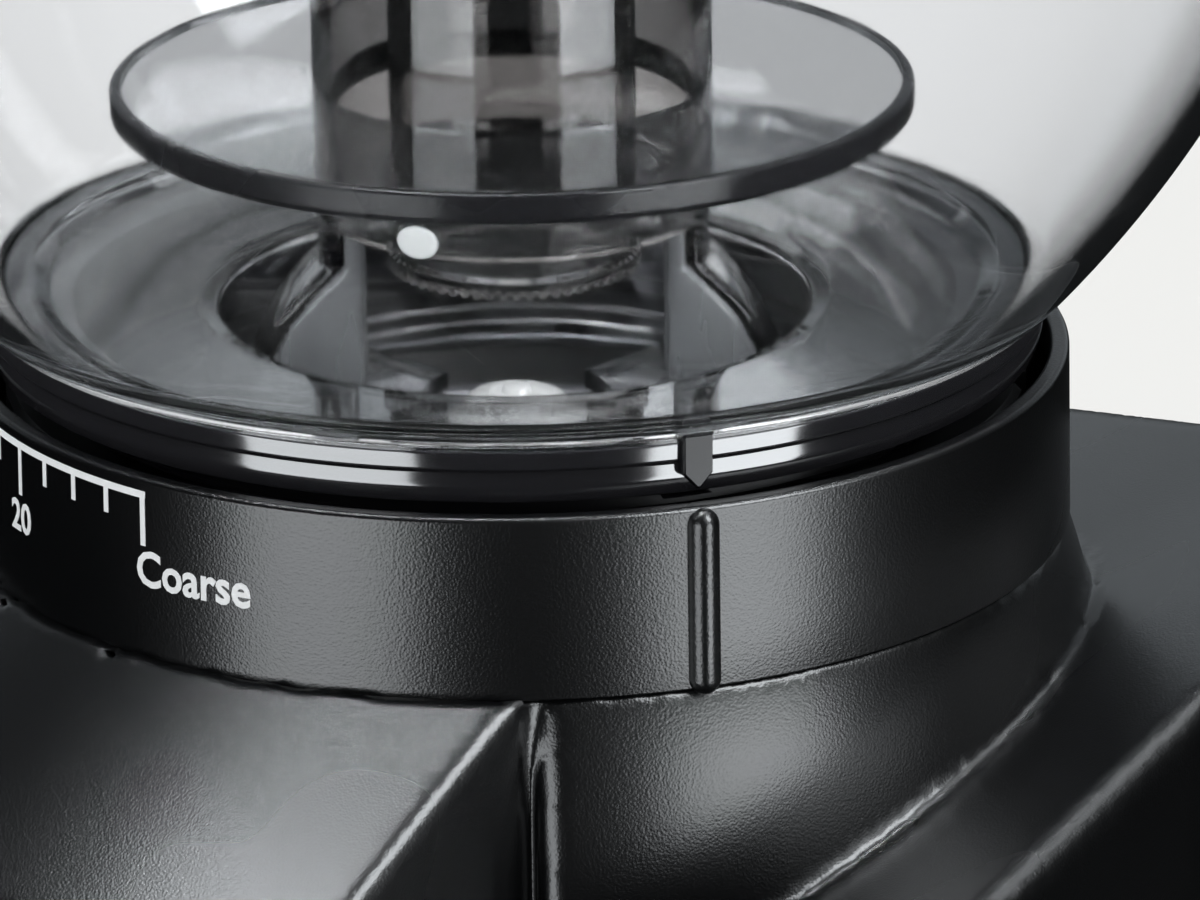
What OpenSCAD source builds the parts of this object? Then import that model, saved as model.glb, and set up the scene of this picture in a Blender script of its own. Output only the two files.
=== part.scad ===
// Burr coffee grinder with a clear bean hopper that turns to set the grind.
// Millimetres, +Z up, front of the machine towards -Y. The origin is the middle
// of the footprint, on the surface that the machine stands on.
// Most pieces are drawn about the burr axis: "from_rim" has its zero at the
// centre of the collar's rim, "from_table" on the table below it.

/* [Body] */
// Width of the body
body_w = 156; // [150:1:162]
// Height of the collar's rim above the table
rim_z = 262; // [258:1:275]
// Distance of the flat rear face behind the burr axis
rear_d = 71; // [70:0.5:73]
// Distance of the base's front edge ahead of the burr axis
base_front = 110; // [106:1:118]
// Thickness of the moulded housings
wall = 2.5; // [2:0.1:3]
// Slope of the rear deck in degrees
deck_a = 27.5; // [24:0.5:30]
// Fall of the front hood for each millimetre outwards
hood_fall = 0.68; // [0.6:0.01:0.75]

/* [Collar] */
// Outer radius of the collar at its rim
collar_r = 52; // [51:0.5:53]
// Height of the collar
collar_h = 16.7; // [15:0.1:18]
// Radius of the drum below the collar
drum_r = 56; // [55:0.5:58]
// Angle of the collar's bead from the front, seen from above
bead_a = 117.3; // [90:0.1:150]

/* [Hopper] */
// Outer radius of the bowl
bowl_r = 80; // [80:1:84]
// Height of the bowl's top edge above the rim
bowl_top = 100; // [92:1:108]
// Radius of the curved side of the bowl
bowl_curve = 105.6; // [100:0.1:110]
// Thickness of the bowl
bowl_wall = 2.2; // [1.8:0.1:2.6]
// Radius of the bean throat
throat_r = 28; // [27.5:0.5:28]
// Radius of the guard tower's column
column_r = 18.7; // [18:0.1:19]
// Radius of the guard disc
disc_r = 37.4; // [34:0.1:40]

/* [Drive] */
// Radius of the burr shaft
shaft_r = 4; // [3.8:0.1:4.2]
// Teeth of the drive gear on the burr shaft
drive_teeth = 42; // [42:1:42]
// Teeth of the intermediate gear's pinion
mid_pinion_teeth = 14; // [14:1:14]
// Teeth of the intermediate gear's wheel
mid_wheel_teeth = 48; // [48:1:48]
// Teeth of the motor pinion
motor_teeth = 12; // [12:1:12]
// Tooth module of the slow stage
slow_module = 1.25; // [1.25:0.05:1.25]
// Tooth module of the fast stage
fast_module = 1; // [1:0.05:1]
// Radius of the motor can
motor_r = 29; // [27:0.5:30]

/* [Hidden] */
$fn = 96;
half_w = body_w / 2;
axis_y = (base_front - bowl_r) / 2;
facet_a = 60;
facet_d = 77.3;
feet_h = 3;
base_h = 34;
platform_h = 9;
head_z = 167;
column_front = 42;
corner_r = 18;
nose_r = 78;
nose_c = base_front - nose_r;
deck_z = -53.6;
hood_z = -15.8;
hood_in = collar_r + 0.45;
hood_side_a = 32;
hood_side_r = 41.5;
ledge_z = -collar_h;
shoulder_z = -22.9;
collar_foot_r = collar_r + 0.35;
lip_r = 48.5;
burr_top = -12.3;
burr_bottom = -36;
cone_top_r = 11;
cone_bottom_r = 21;
motor_y = 20;
slow_dist = slow_module * (drive_teeth + mid_pinion_teeth) / 2;
fast_dist = fast_module * (mid_wheel_teeth + motor_teeth) / 2;
mid_y = (slow_dist * slow_dist - fast_dist * fast_dist + motor_y * motor_y) / (2 * motor_y);
mid_x = -sqrt(slow_dist * slow_dist - mid_y * mid_y);
mid_a = atan2(mid_y, mid_x);
motor_a = atan2(motor_y - mid_y, -mid_x);
chute_y = -62;
fork_z = 118;
button_z = 140;
timer_z = 78;
switch_z = 80;
bowl_start_r = 52.1;
bowl_start_z = 7.05;
bowl_arc_r = bowl_r - bowl_curve;
bowl_start_a = asin((bowl_start_r - bowl_arc_r) / bowl_curve);
bowl_arc_z = bowl_start_z + bowl_curve * cos(bowl_start_a);
tower_base = 12.7;
tower_top = 84;
tower_a = bead_a - 17.9 - 90;
leg_w = 12.4;
leg_wall = 1.5;
leg_inner = 14;
leg_reach = 27.4;
gate_z = -8;
gate_h = 1.8;
gate_inner = 9;
shelf_z = -10.4;
shelf_h = 1.7;
thread_r = 1.6;
nut_cap_z = -7.6;

// ---------------------------------------------------------------- helpers

module from_rim() translate([0, axis_y, rim_z]) children();
module from_table() translate([0, axis_y, 0]) children();

// Places its children at a distance from the axis; the angle runs from the
// front, counter-clockwise seen from above.
module at_angle(a, r) rotate([0, 0, a]) translate([0, -r, 0]) children();

module ring(outer, inner, z0, z1) {
    translate([0, 0, z0])
        difference() {
            cylinder(r = outer, h = z1 - z0);
            translate([0, 0, -1]) cylinder(r = inner, h = z1 - z0 + 2);
        }
}

module block(x0, x1, y0, y1, z0, z1) translate([x0, y0, z0]) cube([x1 - x0, y1 - y0, z1 - z0]);

function arc_points(cx, cy, r, a0, a1, n) =
    [for (i = [0:n]) [cx + r * cos(a0 + (a1 - a0) * i / n), cy + r * sin(a0 + (a1 - a0) * i / n)]];

// Plan of the rear end with its two slanted facets, pulled in by an inset.
function rear_points(inset) = [
    [half_w - inset, (facet_d - inset - cos(facet_a) * (half_w - inset)) / sin(facet_a)],
    [(facet_d - inset - sin(facet_a) * (rear_d - inset)) / cos(facet_a), rear_d - inset],
    [-(facet_d - inset - sin(facet_a) * (rear_d - inset)) / cos(facet_a), rear_d - inset],
    [-half_w + inset, (facet_d - inset - cos(facet_a) * (half_w - inset)) / sin(facet_a)]];

// Plan of the head: a half circle in front.
module head_plan(inset)
    polygon(concat(rear_points(inset), arc_points(0, 0, half_w - inset, 180, 360, 48)));

// Plan of the column: a flat front with round corners.
module column_plan(inset)
    polygon(concat(rear_points(inset),
        arc_points(-half_w + corner_r, -column_front + corner_r, corner_r - inset, 180, 270, 8),
        arc_points(half_w - corner_r, -column_front + corner_r, corner_r - inset, 270, 360, 8)));

// Plan of the base block behind the grounds tray.
module block_plan(inset)
    polygon(concat(rear_points(inset), [[-half_w + inset, -column_front + inset],
        [half_w - inset, -column_front + inset]]));

// Plan of the round nose that carries the grounds tray, up to a straight rear edge.
module nose_plan(inset, rear_edge) {
    a = asin((-rear_edge - nose_c) / (nose_r - inset));
    polygon(arc_points(0, -nose_c, nose_r - inset, 180 + a, 360 - a, 48));
}

module prism(z0, z1) translate([0, 0, z0]) linear_extrude(z1 - z0) children();

// Sector of a ring, from an inner radius outwards, centred on the front.
module sector(inner, outer, half_a)
    polygon(concat(arc_points(0, 0, outer, -90 - half_a, -90 + half_a, 16),
        arc_points(0, 0, inner, -90 + half_a, -90 - half_a, 8)));

function involute(a) = tan(a) - a * PI / 180;
// Half the angle of a tooth at a radius, on a 20 degree involute.
function tooth_half(r, teeth, mod, slack) =
    let (rp = teeth * mod / 2)
    90 / teeth - slack / (2 * rp) * 180 / PI
        + (involute(20) - involute(acos(min(1, rp * cos(20) / r)))) * 180 / PI;

// Flat outline of a spur gear with one tooth centred on +X.
module gear_plan(teeth, mod) {
    rp = teeth * mod / 2;
    tip = rp + 0.8 * mod;
    root = rp - 1.15 * mod;
    base = max(rp * cos(20), root);
    slack = 0.16;
    polygon([for (i = [0:teeth - 1]) let (a = 360 * i / teeth)
        for (p = [[root, -1], [base, -1], [rp, -1], [tip, -1], [tip, 1], [rp, 1], [base, 1], [root, 1]])
            let (h = a + p[1] * tooth_half(max(p[0], base), teeth, mod, slack))
                [p[0] * cos(h), p[0] * sin(h)]]);
}

module pan_screw(head_r, head_h, thread_r, length) {
    difference() {
        union() {
            translate([0, 0, -head_h]) cylinder(r = head_r, h = head_h);
            cylinder(r = thread_r, h = length);
        }
        translate([-head_r * 0.6, -0.4, -head_h - 1]) cube([head_r * 1.2, 0.8, 1 + head_h * 0.5]);
        translate([-0.4, -head_r * 0.6, -head_h - 1]) cube([0.8, head_r * 1.2, 1 + head_h * 0.5]);
    }
}

module left_and_right() {
    children();
    mirror([1, 0, 0]) children();
}

// Centres of the four mounts that carry the gearbox, of the feet, of the posts
// behind the control board and of the housing's screws.
mount_spots = [[52, -24], [52, 42], [-52, 42], [-52, -24]];
foot_spots = [[60, 36], [-60, 36], [42, -82], [-42, -82]];
board_post_x = 40;
board_post_z = [58, 140];
panel_screw_x = 44;
panel_screw_z = [50, 157];
hood_screw_a = 40;
hood_screw_r = 66;

// ---------------------------------------------------------------- base

module base_plate() {
    color("dimgray") from_table() difference() {
        union() {
            prism(feet_h, feet_h + wall) block_plan(wall + 0.1);
            prism(feet_h, feet_h + wall) nose_plan(wall + 0.1, -column_front + 4);
        }
        for (p = foot_spots) translate([p[0], p[1], 0]) cylinder(r = 2.1, h = 20);
        for (i = [-3:3]) block(-20, 20, 4 + i * 8, 8 + i * 8, 0, 10);
    }
}

module rubber_feet() {
    color("black") from_table() for (p = foot_spots) translate([p[0], p[1], 0])
        difference() {
            cylinder(r1 = 9, r2 = 10, h = feet_h);
            translate([0, 0, -1]) cylinder(r = 4, h = 2.5);
            cylinder(r = 2.1, h = 10);
        }
}

module base_screws() {
    color("silver") from_table() for (p = foot_spots) translate([p[0], p[1], 1.5])
        difference() {
            union() {
                translate([0, 0, -1]) cylinder(r = 3.6, h = 1);
                cylinder(r = 2, h = 6.3);
            }
            translate([-2.4, -0.4, -2]) cube([4.8, 0.8, 1.6]);
        }
}

module base_housing() {
    color([0.09, 0.09, 0.1]) from_table() difference() {
        union() {
            prism(feet_h, base_h) block_plan(0);
            prism(feet_h, platform_h) nose_plan(1.5, -column_front + 2);
        }
        prism(feet_h - 1, base_h - wall) block_plan(wall);
        difference() {
            prism(feet_h - 1, platform_h - wall) nose_plan(wall, -column_front + 4);
            for (p = foot_spots) translate([p[0], p[1], feet_h + wall]) cylinder(r = 5, h = 20);
        }
        prism(base_h - 5, base_h + 1) square([100, 60], center = true);
        translate([0, rear_d - 5, 20]) rotate([-90, 0, 0]) cylinder(r = 7, h = 10);
        for (p = foot_spots) translate([p[0], p[1], 0]) cylinder(r = 2.1, h = 8);
    }
    color([0.09, 0.09, 0.1]) from_table() for (p = foot_spots) if (p[1] > 0)
        translate([p[0], p[1], feet_h + wall + 0.05]) difference() {
            cylinder(r = 6, h = base_h - feet_h - 2 * wall);
            translate([0, 0, -1]) cylinder(r = 2.1, h = 8);
        }
}

module grounds_tray() {
    color([0.12, 0.12, 0.13]) from_table() difference() {
        prism(platform_h + 0.3, base_h) nose_plan(0, -column_front - 0.5);
        prism(platform_h + 0.3 + wall, base_h + 1) nose_plan(wall, -column_front - 0.5 - wall);
    }
}

module cord_gland() {
    color("black") from_table() translate([0, rear_d, 20]) rotate([-90, 0, 0]) difference() {
        union() {
            cylinder(r = 9, h = 2.5);
            translate([0, 0, -6]) cylinder(r = 6.9, h = 6.5);
            cylinder(r1 = 7.5, r2 = 5.5, h = 8);
        }
        translate([0, 0, -10]) cylinder(r = 3.4, h = 30);
    }
}

// ---------------------------------------------------------------- column

module column_housing() {
    color([0.09, 0.09, 0.1]) from_table() {
        difference() {
            prism(base_h, head_z) column_plan(0);
            prism(base_h - 1, head_z + 1) column_plan(wall);
            block(-38, 38, -60, -30, 56, 152);
            block(-24.2, 24.2, 60, 90, 60, 130);
            block(-90, -60, -9.2, 9.2, switch_z - 12.2, switch_z + 12.2);
            for (s = [-1, 1], h = panel_screw_z) translate([s * panel_screw_x, -50, h])
                rotate([-90, 0, 0]) cylinder(r = 1.6, h = 20);
        }
        left_and_right() {
            block(44, half_w - wall + 0.5, -32, -16, 148, 156);
            block(44, half_w - wall + 0.5, 34, 46, 148, 156);
            for (h = board_post_z)
                translate([board_post_x, -column_front + wall - 0.5, h]) rotate([-90, 0, 0])
                    cylinder(r = 3, h = 9.5);
        }
    }
}

module front_panel() {
    color([0.16, 0.16, 0.17]) from_table() difference() {
        block(-50, 50, -column_front - 3, -column_front, 44, 163);
        translate([0, -60, button_z]) rotate([-90, 0, 0]) cylinder(r = 9.5, h = 30);
        translate([0, -60, timer_z]) rotate([-90, 0, 0]) cylinder(r = 4.5, h = 30);
        for (s = [-1, 1], h = panel_screw_z) translate([s * panel_screw_x, -60, h])
            rotate([-90, 0, 0]) cylinder(r = 1.6, h = 40);
    }
}

module vent_grille() {
    color([0.09, 0.09, 0.1]) from_table() difference() {
        block(-24, 24, rear_d - wall, rear_d - 0.1, 60.2, 129.8);
        for (i = [0:8]) block(-20, 20, 60, 90, 64.5 + i * 7, 68 + i * 7);
    }
}

module portafilter_fork() {
    color([0.2, 0.2, 0.21]) from_table() difference() {
        union() {
            block(-37, 37, -50, -column_front - 3, fork_z - 10, fork_z + 6);
            block(-37, 37, -88, -49, fork_z - 6, fork_z);
        }
        translate([0, -78, fork_z - 20]) cylinder(r = 29, h = 40);
        block(-29, 29, -100, -78, fork_z - 20, fork_z + 20);
    }
}

module start_button() {
    color([0.35, 0.35, 0.36]) from_table() translate([0, -51, button_z]) rotate([-90, 0, 0]) union() {
        cylinder(r = 9, h = 9.7);
        translate([0, 0, 9.6]) cylinder(r = 11, h = 1.4);
        translate([0, 0, 10]) cylinder(r = 2, h = 4);
    }
}

// Coil spring around the button's stem, as a swept tube.
spring_r = 4.2;
wire_r = 0.45;
spring_turns = 4;
spring_length = 4.5;
module button_spring() {
    rings = spring_turns * 16;
    sides = 8;
    points = [for (i = [0:rings], j = [0:sides - 1])
        let (t = 360 * spring_turns * i / rings, u = 360 * j / sides, q = spring_r + wire_r * cos(u))
            [q * cos(t), q * sin(t), spring_length * i / rings + wire_r * sin(u)]];
    faces = concat([[for (j = [0:sides - 1]) j]],
        [for (i = [0:rings - 1], j = [0:sides - 1]) let (a = i * sides + j, b = i * sides + (j + 1) % sides)
            [a, a + sides, b + sides, b]],
        [[for (j = [sides - 1:-1:0]) rings * sides + j]]);
    color("silver") from_table() translate([0, -39.4, button_z]) rotate([-90, 0, 0])
        polyhedron(points, faces);
}

module start_switch() {
    color([0.2, 0.2, 0.2]) from_table() difference() {
        block(-10, 10, -35.5, -30.6, button_z - 7, button_z + 4);
        translate([0, -40, button_z]) rotate([-90, 0, 0]) cylinder(r = 5.4, h = 9);
    }
}

module timer_potentiometer() {
    color([0.25, 0.25, 0.27]) from_table() translate([0, 0, timer_z]) rotate([90, 0, 0]) difference() {
        union() {
            translate([0, 0, 30.6]) cylinder(r = 9, h = 8);
            translate([0, 0, 38.5]) cylinder(r = 4.3, h = 6);
        }
        translate([0, 0, 33]) cylinder(r = 3.05, h = 20);
    }
}

module timer_knob() {
    color([0.1, 0.1, 0.11]) from_table() translate([0, 0, timer_z]) rotate([90, 0, 0]) union() {
        translate([0, 0, 35]) cylinder(r = 3, h = 12);
        translate([0, 0, 45.5]) cylinder(r = 15, h = 5);
        translate([0, 0, 50.4]) cylinder(r1 = 14, r2 = 13, h = 9.6);
    }
}

module control_board() {
    color([0.05, 0.3, 0.15]) from_table() union() {
        difference() {
            block(-48, 48, -30.5, -28.9, 52, 146);
            for (s = [-1, 1], h = board_post_z) translate([s * board_post_x, -40, h])
                rotate([-90, 0, 0]) cylinder(r = 1.5, h = 20);
        }
        block(-30, -8, -29, -15, 100, 128);
        block(12, 28, -29, -17, 104, 122);
        translate([20, -29, 84]) rotate([-90, 0, 0]) cylinder(r = 8, h = 15);
        block(-36, -24, -29, -21, 64, 92);
    }
}

module power_switch_frame() {
    color([0.07, 0.07, 0.07]) from_table() difference() {
        block(-half_w + 0.2, -64, -9, 9, switch_z - 12, switch_z + 12);
        translate([-71, 8 - 0.6, switch_z]) rotate([90, 0, 0]) cylinder(r = 8.2, h = 14.8);
        block(-90, -71, -7.4, 7.4, switch_z - 8.2, switch_z + 8.2);
    }
}

// Rocker: a short drum with a shallow vee cut across its outer side.
module power_rocker() {
    color([0.3, 0.05, 0.05]) from_table() translate([-71, 0, switch_z]) rotate([90, 0, 0])
        intersection() {
            translate([0, 0, -6.8]) cylinder(r = 7.4, h = 13.6);
            translate([0, 0, -10]) linear_extrude(20)
                polygon([[9, -9], [9, 9], [-7.8, 9], [-5, 0], [-7.8, -9]]);
        }
}

// ---------------------------------------------------------------- head

// Solid form of the head, pulled in by an inset to make its cavity.
module head_form(inset, bottom) {
    slope = inset / cos(atan(hood_fall));
    intersection() {
        prism(bottom, 0) head_plan(inset);
        union() {
            translate([0, 0, deck_z]) rotate([deck_a, 0, 0]) translate([-100, -160, -160 - inset])
                cube([200, 320, 160]);
            rotate_extrude() polygon([[0, bottom - 1], [drum_r - inset, bottom - 1],
                [drum_r - inset, shoulder_z - inset * 0.4], [collar_foot_r - inset, ledge_z - inset],
                [0, ledge_z - inset]]);
            intersection() {
                rotate_extrude() polygon([[hood_in - inset * 2, bottom - 1], [half_w + 5, bottom - 1],
                    [half_w + 5, hood_z - hood_fall * (half_w + 5 - hood_in) - slope],
                    [hood_in, hood_z - slope], [hood_in - inset * 2, hood_z - slope - inset * 1.2]]);
                prism(bottom - 2, 10) polygon([[0, hood_side_r - slope],
                    [-100, hood_side_r - slope - 100 * tan(hood_side_a)], [-100, -100], [100, -100],
                    [100, hood_side_r - slope - 100 * tan(hood_side_a)]]);
            }
        }
    }
}

module head_housing() {
    color([0.09, 0.09, 0.1]) from_rim() difference() {
        head_form(0, head_z - rim_z);
        head_form(wall, head_z - rim_z - 1);
        translate([0, 0, -40]) cylinder(r = lip_r, h = 60);
    }
}

module head_underside() {
    color([0.12, 0.12, 0.13]) from_rim() difference() {
        prism(head_z - rim_z + 0.5, head_z - rim_z + 3) intersection() {
            head_plan(wall + 0.1);
            translate([-100, -100]) square([200, 100 - column_front + wall]);
        }
        block(-14.4, 14.4, chute_y - 8.4, chute_y + 8.4, -100, -80);
        for (s = [-1, 1]) at_angle(s * hood_screw_a, hood_screw_r) translate([0, 0, -100])
            cylinder(r = 1.8, h = 20);
    }
}

module housing_screws() {
    color("silver") {
        from_rim() for (s = [-1, 1]) at_angle(s * hood_screw_a, hood_screw_r)
            translate([0, 0, head_z - rim_z + 0.5]) pan_screw(3.2, 1.8, 1.75, 9);
        from_table() for (s = [-1, 1], h = panel_screw_z)
            translate([s * panel_screw_x, -column_front - 3, h]) rotate([-90, 0, 0])
                pan_screw(3, 1.6, 1.55, 9);
    }
}

module top_collar() {
    color([0.1, 0.1, 0.11]) from_rim() {
        rotate_extrude() polygon([[50.2, -collar_h], [collar_foot_r, -collar_h], [collar_r, -0.6],
            [collar_r - 0.6, 0], [50.8, 0], [50.2, -0.6]]);
        at_angle(bead_a, collar_r - 0.1) translate([0, 0, -collar_h + 0.2]) cylinder(r = 1.5, h = 15);
        at_angle(bead_a, collar_r - 0.1) translate([0, 0, -1.5]) sphere(r = 1.5, $fn = 32);
    }
}

module grinding_chamber() {
    color([0.6, 0.6, 0.62]) from_rim() difference() {
        rotate_extrude() polygon([[5.5, -59], [15, -59], [15, -50], [46.5, -50], [46.5, -25],
            [43.5, -25], [43.5, -47], [5.5, -47]]);
        translate([0, 0, -60]) cylinder(r = 11.02, h = 8.5);
        block(-11.5, 11.5, -60, -35, -46.9, -34);
    }
}

module chamber_seal() {
    color([0.75, 0.73, 0.68]) from_rim() ring(46.3, 43.6, -25, -24.3);
}

module grind_chute() {
    color([0.13, 0.13, 0.14]) from_rim() rotate([90, 0, 90]) difference() {
        translate([0, 0, -14]) linear_extrude(28) polygon([[-46.7, -32], [-66, -42], [chute_y - 8, -50],
            [chute_y - 8, head_z - rim_z + 0.5], [chute_y + 8, head_z - rim_z + 0.5],
            [chute_y + 8, -60], [-46.7, -49.5]]);
        translate([0, 0, -11.5]) linear_extrude(23) polygon([[-40, -32], [-46.7, -34.4], [-65, -44],
            [chute_y - 6, -51], [chute_y - 6, -120], [chute_y + 6, -120], [chute_y + 6, -58.5],
            [-46.7, -47], [-40, -46]]);
    }
}

module chute_nozzle() {
    color([0.13, 0.13, 0.14]) from_rim() translate([0, chute_y, head_z - rim_z + 0.5]) difference() {
        union() {
            block(-18, 18, -10.5, 10.5, -2.5, 0);
            translate([0, 0, -16]) cylinder(r1 = 8.5, r2 = 11, h = 14);
        }
        translate([0, 0, -20]) cylinder(r = 6.5, h = 30);
    }
}

module hopper_switch() {
    color([0.2, 0.2, 0.2]) from_rim() union() {
        block(-10, 10, 47.2, 52.4, -38, -28);
        block(-8, -5, 48, 52, -42, -37.5);
        block(5, 8, 48, 52, -42, -37.5);
        block(-1.5, 1.5, 48.5, 51, -28.2, -26.5);
    }
}

// ---------------------------------------------------------------- gearbox and motor

module gearbox_housing() {
    color([0.55, 0.55, 0.57]) from_rim() difference() {
        union() {
            block(-60, 60, -33, 50, -98, -95);
            block(-60, 34, -33, 50, -96, -62);
        }
        difference() {
            block(-57, 31, -30, 47, -95, -61);
            translate([0, 0, -96]) cylinder(r = 14, h = 8);
            translate([mid_x, mid_y, -96]) cylinder(r = 6, h = 8.5);
        }
        translate([0, 0, -95]) cylinder(r = 11.02, h = 10);
        translate([0, motor_y, -100]) cylinder(r = 8.4, h = 10);
        translate([mid_x, mid_y, -94]) cylinder(r = 3, h = 10);
        for (p = mount_spots) translate([p[0], p[1], -100]) cylinder(r = 2.2, h = 10);
        for (s = [-1, 1]) translate([s * 18, motor_y, -100]) cylinder(r = 1.8, h = 10);
    }
}

module gearbox_cover() {
    color([0.5, 0.5, 0.52]) from_rim() difference() {
        block(-60, 34, -33, 50, -62, -59);
        translate([0, 0, -70]) cylinder(r = 6, h = 20);
        translate([mid_x, mid_y, -62.5]) cylinder(r = 3, h = 2);
    }
}

module vibration_mounts() {
    color("black") from_rim() for (p = mount_spots) translate([p[0], p[1], 0])
        difference() {
            union() {
                translate([0, 0, 156 - rim_z]) cylinder(r = 6.5, h = 3);
                translate([0, 0, 158 - rim_z]) cylinder(r = 5, h = 4.1);
                translate([0, 0, 161 - rim_z]) cylinder(r = 6.5, h = 3);
            }
            translate([0, 0, -120]) cylinder(r = 2, h = 30);
        }
}

module motor_can() {
    color([0.6, 0.6, 0.62]) from_rim() translate([0, motor_y, 0]) difference() {
        translate([0, 0, -166]) cylinder(r = motor_r, h = 68);
        translate([0, 0, -167]) cylinder(r = motor_r - 2, h = 66.5);
        translate([0, 0, -110]) cylinder(r = 4, h = 20);
        for (s = [-1, 1]) translate([s * 18, 0, -110]) cylinder(r = 1.75, h = 20);
        for (a = [45:90:315]) rotate([0, 0, a]) block(18, 40, -5, 5, -116, -107);
    }
}

module motor_end_cap() {
    color([0.2, 0.2, 0.2]) from_rim() translate([0, motor_y, 0]) difference() {
        union() {
            translate([0, 0, -169]) cylinder(r = motor_r, h = 3);
            translate([0, 0, -172]) cylinder(r = 8, h = 8);
            for (s = [-1, 1]) block(s * 15 - 5, s * 15 + 5, -4, 4, -167, -155);
        }
        translate([0, 0, -171]) cylinder(r = 2.55, h = 20);
        for (a = [0:90:270]) rotate([0, 0, a + 45]) block(11, 24, -3, 3, -175, -160);
    }
}

module motor_screws() {
    color("silver") from_rim() for (s = [-1, 1]) translate([s * 18, motor_y, -95]) rotate([180, 0, 0])
        pan_screw(3, 1.6, 1.74, 9);
}

module motor_rotor() {
    color([0.7, 0.45, 0.25]) from_rim() translate([0, motor_y, 0]) union() {
        translate([0, 0, -170.8]) cylinder(r = 2.5, h = 93);
        translate([0, 0, -150]) cylinder(r = 19, h = 30);
        translate([0, 0, -163]) cylinder(r = 8.5, h = 11);
        translate([0, 0, -153]) cylinder(r = 12, h = 36);
        translate([0, 0, -113]) cylinder(r = 6, h = 6);
        for (a = [0:45:315]) rotate([0, 0, a]) block(4, 23, -0.8, 0.8, -112, -107);
    }
}

module motor_pinion() {
    color([0.75, 0.7, 0.4]) from_rim() translate([0, motor_y, 0]) difference() {
        prism(-88, -78) rotate([0, 0, motor_a + 180 + 180 / motor_teeth])
            gear_plan(motor_teeth, fast_module);
        translate([0, 0, -89]) cylinder(r = 2.5, h = 12);
    }
}

module gear_axle() {
    color("silver") from_rim() translate([mid_x, mid_y, -94]) cylinder(r = 3, h = 33);
}

module intermediate_gear() {
    color([0.85, 0.83, 0.75]) from_rim() translate([mid_x, mid_y, 0]) difference() {
        union() {
            prism(-86, -79) rotate([0, 0, motor_a]) gear_plan(mid_wheel_teeth, fast_module);
            prism(-79.5, -66) rotate([0, 0, mid_a + 180 + 180 / mid_pinion_teeth])
                gear_plan(mid_pinion_teeth, slow_module);
            translate([0, 0, -79.2]) cylinder(r = 9.5, h = 1);
        }
        translate([0, 0, -100]) cylinder(r = 3.05, h = 60);
    }
}

module drive_gear() {
    color([0.85, 0.83, 0.75]) from_rim() difference() {
        union() {
            prism(-76, -68) rotate([0, 0, mid_a]) gear_plan(drive_teeth, slow_module);
            translate([0, 0, -79]) cylinder(r = 8, h = 13);
        }
        translate([0, 0, -100]) cylinder(r = shaft_r + 0.02, h = 60);
    }
}

module upper_bearing() {
    color([0.7, 0.7, 0.72]) from_rim() ring(11, shaft_r + 0.05, -58.8, -51.8);
}

module lower_bearing() {
    color([0.7, 0.7, 0.72]) from_rim() ring(11, shaft_r + 0.05, -95, -88);
}

// ---------------------------------------------------------------- burrs

module burr_shaft() {
    color([0.75, 0.75, 0.77]) from_rim() union() {
        translate([0, 0, -94.8]) cylinder(r = shaft_r, h = 82.5);
        translate([0, 0, -13]) cylinder(r = thread_r, h = 5);
    }
}

module impeller() {
    color([0.2, 0.2, 0.2]) from_rim() difference() {
        union() {
            translate([0, 0, -46.2]) cylinder(r = 24, h = 2.5);
            translate([0, 0, -46.2]) cylinder(r = 9, h = 46.2 + burr_bottom);
            for (a = [0:90:270]) rotate([0, 0, a]) block(7, 42, -1.5, 1.5, -46.2, -40);
        }
        translate([0, 0, -60]) cylinder(r = shaft_r + 0.02, h = 40);
    }
}

// Cone with broad feed flutes across its upper half.
module inner_burr() {
    color([0.55, 0.55, 0.57]) from_rim() difference() {
        translate([0, 0, burr_bottom])
            cylinder(r1 = cone_bottom_r, r2 = cone_top_r, h = burr_top - burr_bottom);
        translate([0, 0, -60]) cylinder(r = shaft_r + 0.02, h = 60);
        for (a = [0:60:300]) rotate([0, 0, a]) translate([cone_top_r - 3.5, 0, burr_top])
            rotate([0, 28, 12]) block(-1, 12, -2.4, 2.4, -14, 6);
    }
}

// Cap nut: a washer, a slim neck round the shaft's thread and a domed cap.
module burr_nut() {
    color([0.8, 0.8, 0.82]) from_rim() difference() {
        rotate_extrude() polygon([[0, burr_top], [7, burr_top], [7, burr_top + 0.9], [2.6, burr_top + 0.9],
            [2.6, nut_cap_z], [4.8, nut_cap_z], [4.8, nut_cap_z + 0.7], [4.2, nut_cap_z + 1.3],
            [1.4, nut_cap_z + 1.7], [1.3, nut_cap_z + 2.1], [0, nut_cap_z + 2.2]]);
        translate([0, 0, -20]) cylinder(r = thread_r + 0.02, h = 12.05);
    }
}

module burr_carrier() {
    color([0.15, 0.15, 0.16]) from_rim() difference() {
        rotate_extrude() polygon([[31.05, -33], [40, -33], [40, -13], [36, -11.5], [29, -11.5],
            [27.5, -14.9], [31.05, -14.9]]);
        for (a = [30:120:270]) at_angle(a, 35) translate([0, 0, -40]) cylinder(r = 1.8, h = 40);
    }
}

module outer_burr() {
    color([0.6, 0.6, 0.62]) from_rim()
        rotate_extrude() polygon([[20.9, -32], [31, -32], [31, -15], [25.5, -15], [17.9, -24]]);
}

module burr_screws() {
    color("silver") from_rim() for (a = [30:120:270]) at_angle(a, 35) translate([0, 0, -33])
        pan_screw(3.2, 1.8, 1.75, 12);
}

module adjusting_ring() {
    color([0.07, 0.07, 0.08]) from_rim() difference() {
        rotate_extrude() polygon([[40.5, -24], [48, -24], [48, -3.1], [47.4, -2.5], [44.4, -2.5],
            [44.4, -9], [40.5, -9]]);
        for (a = [0:60:300]) at_angle(a, 46.5) block(-2.5, 2.5, -1.6, 1, -5, 0);
    }
}

// ---------------------------------------------------------------- hopper

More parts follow.
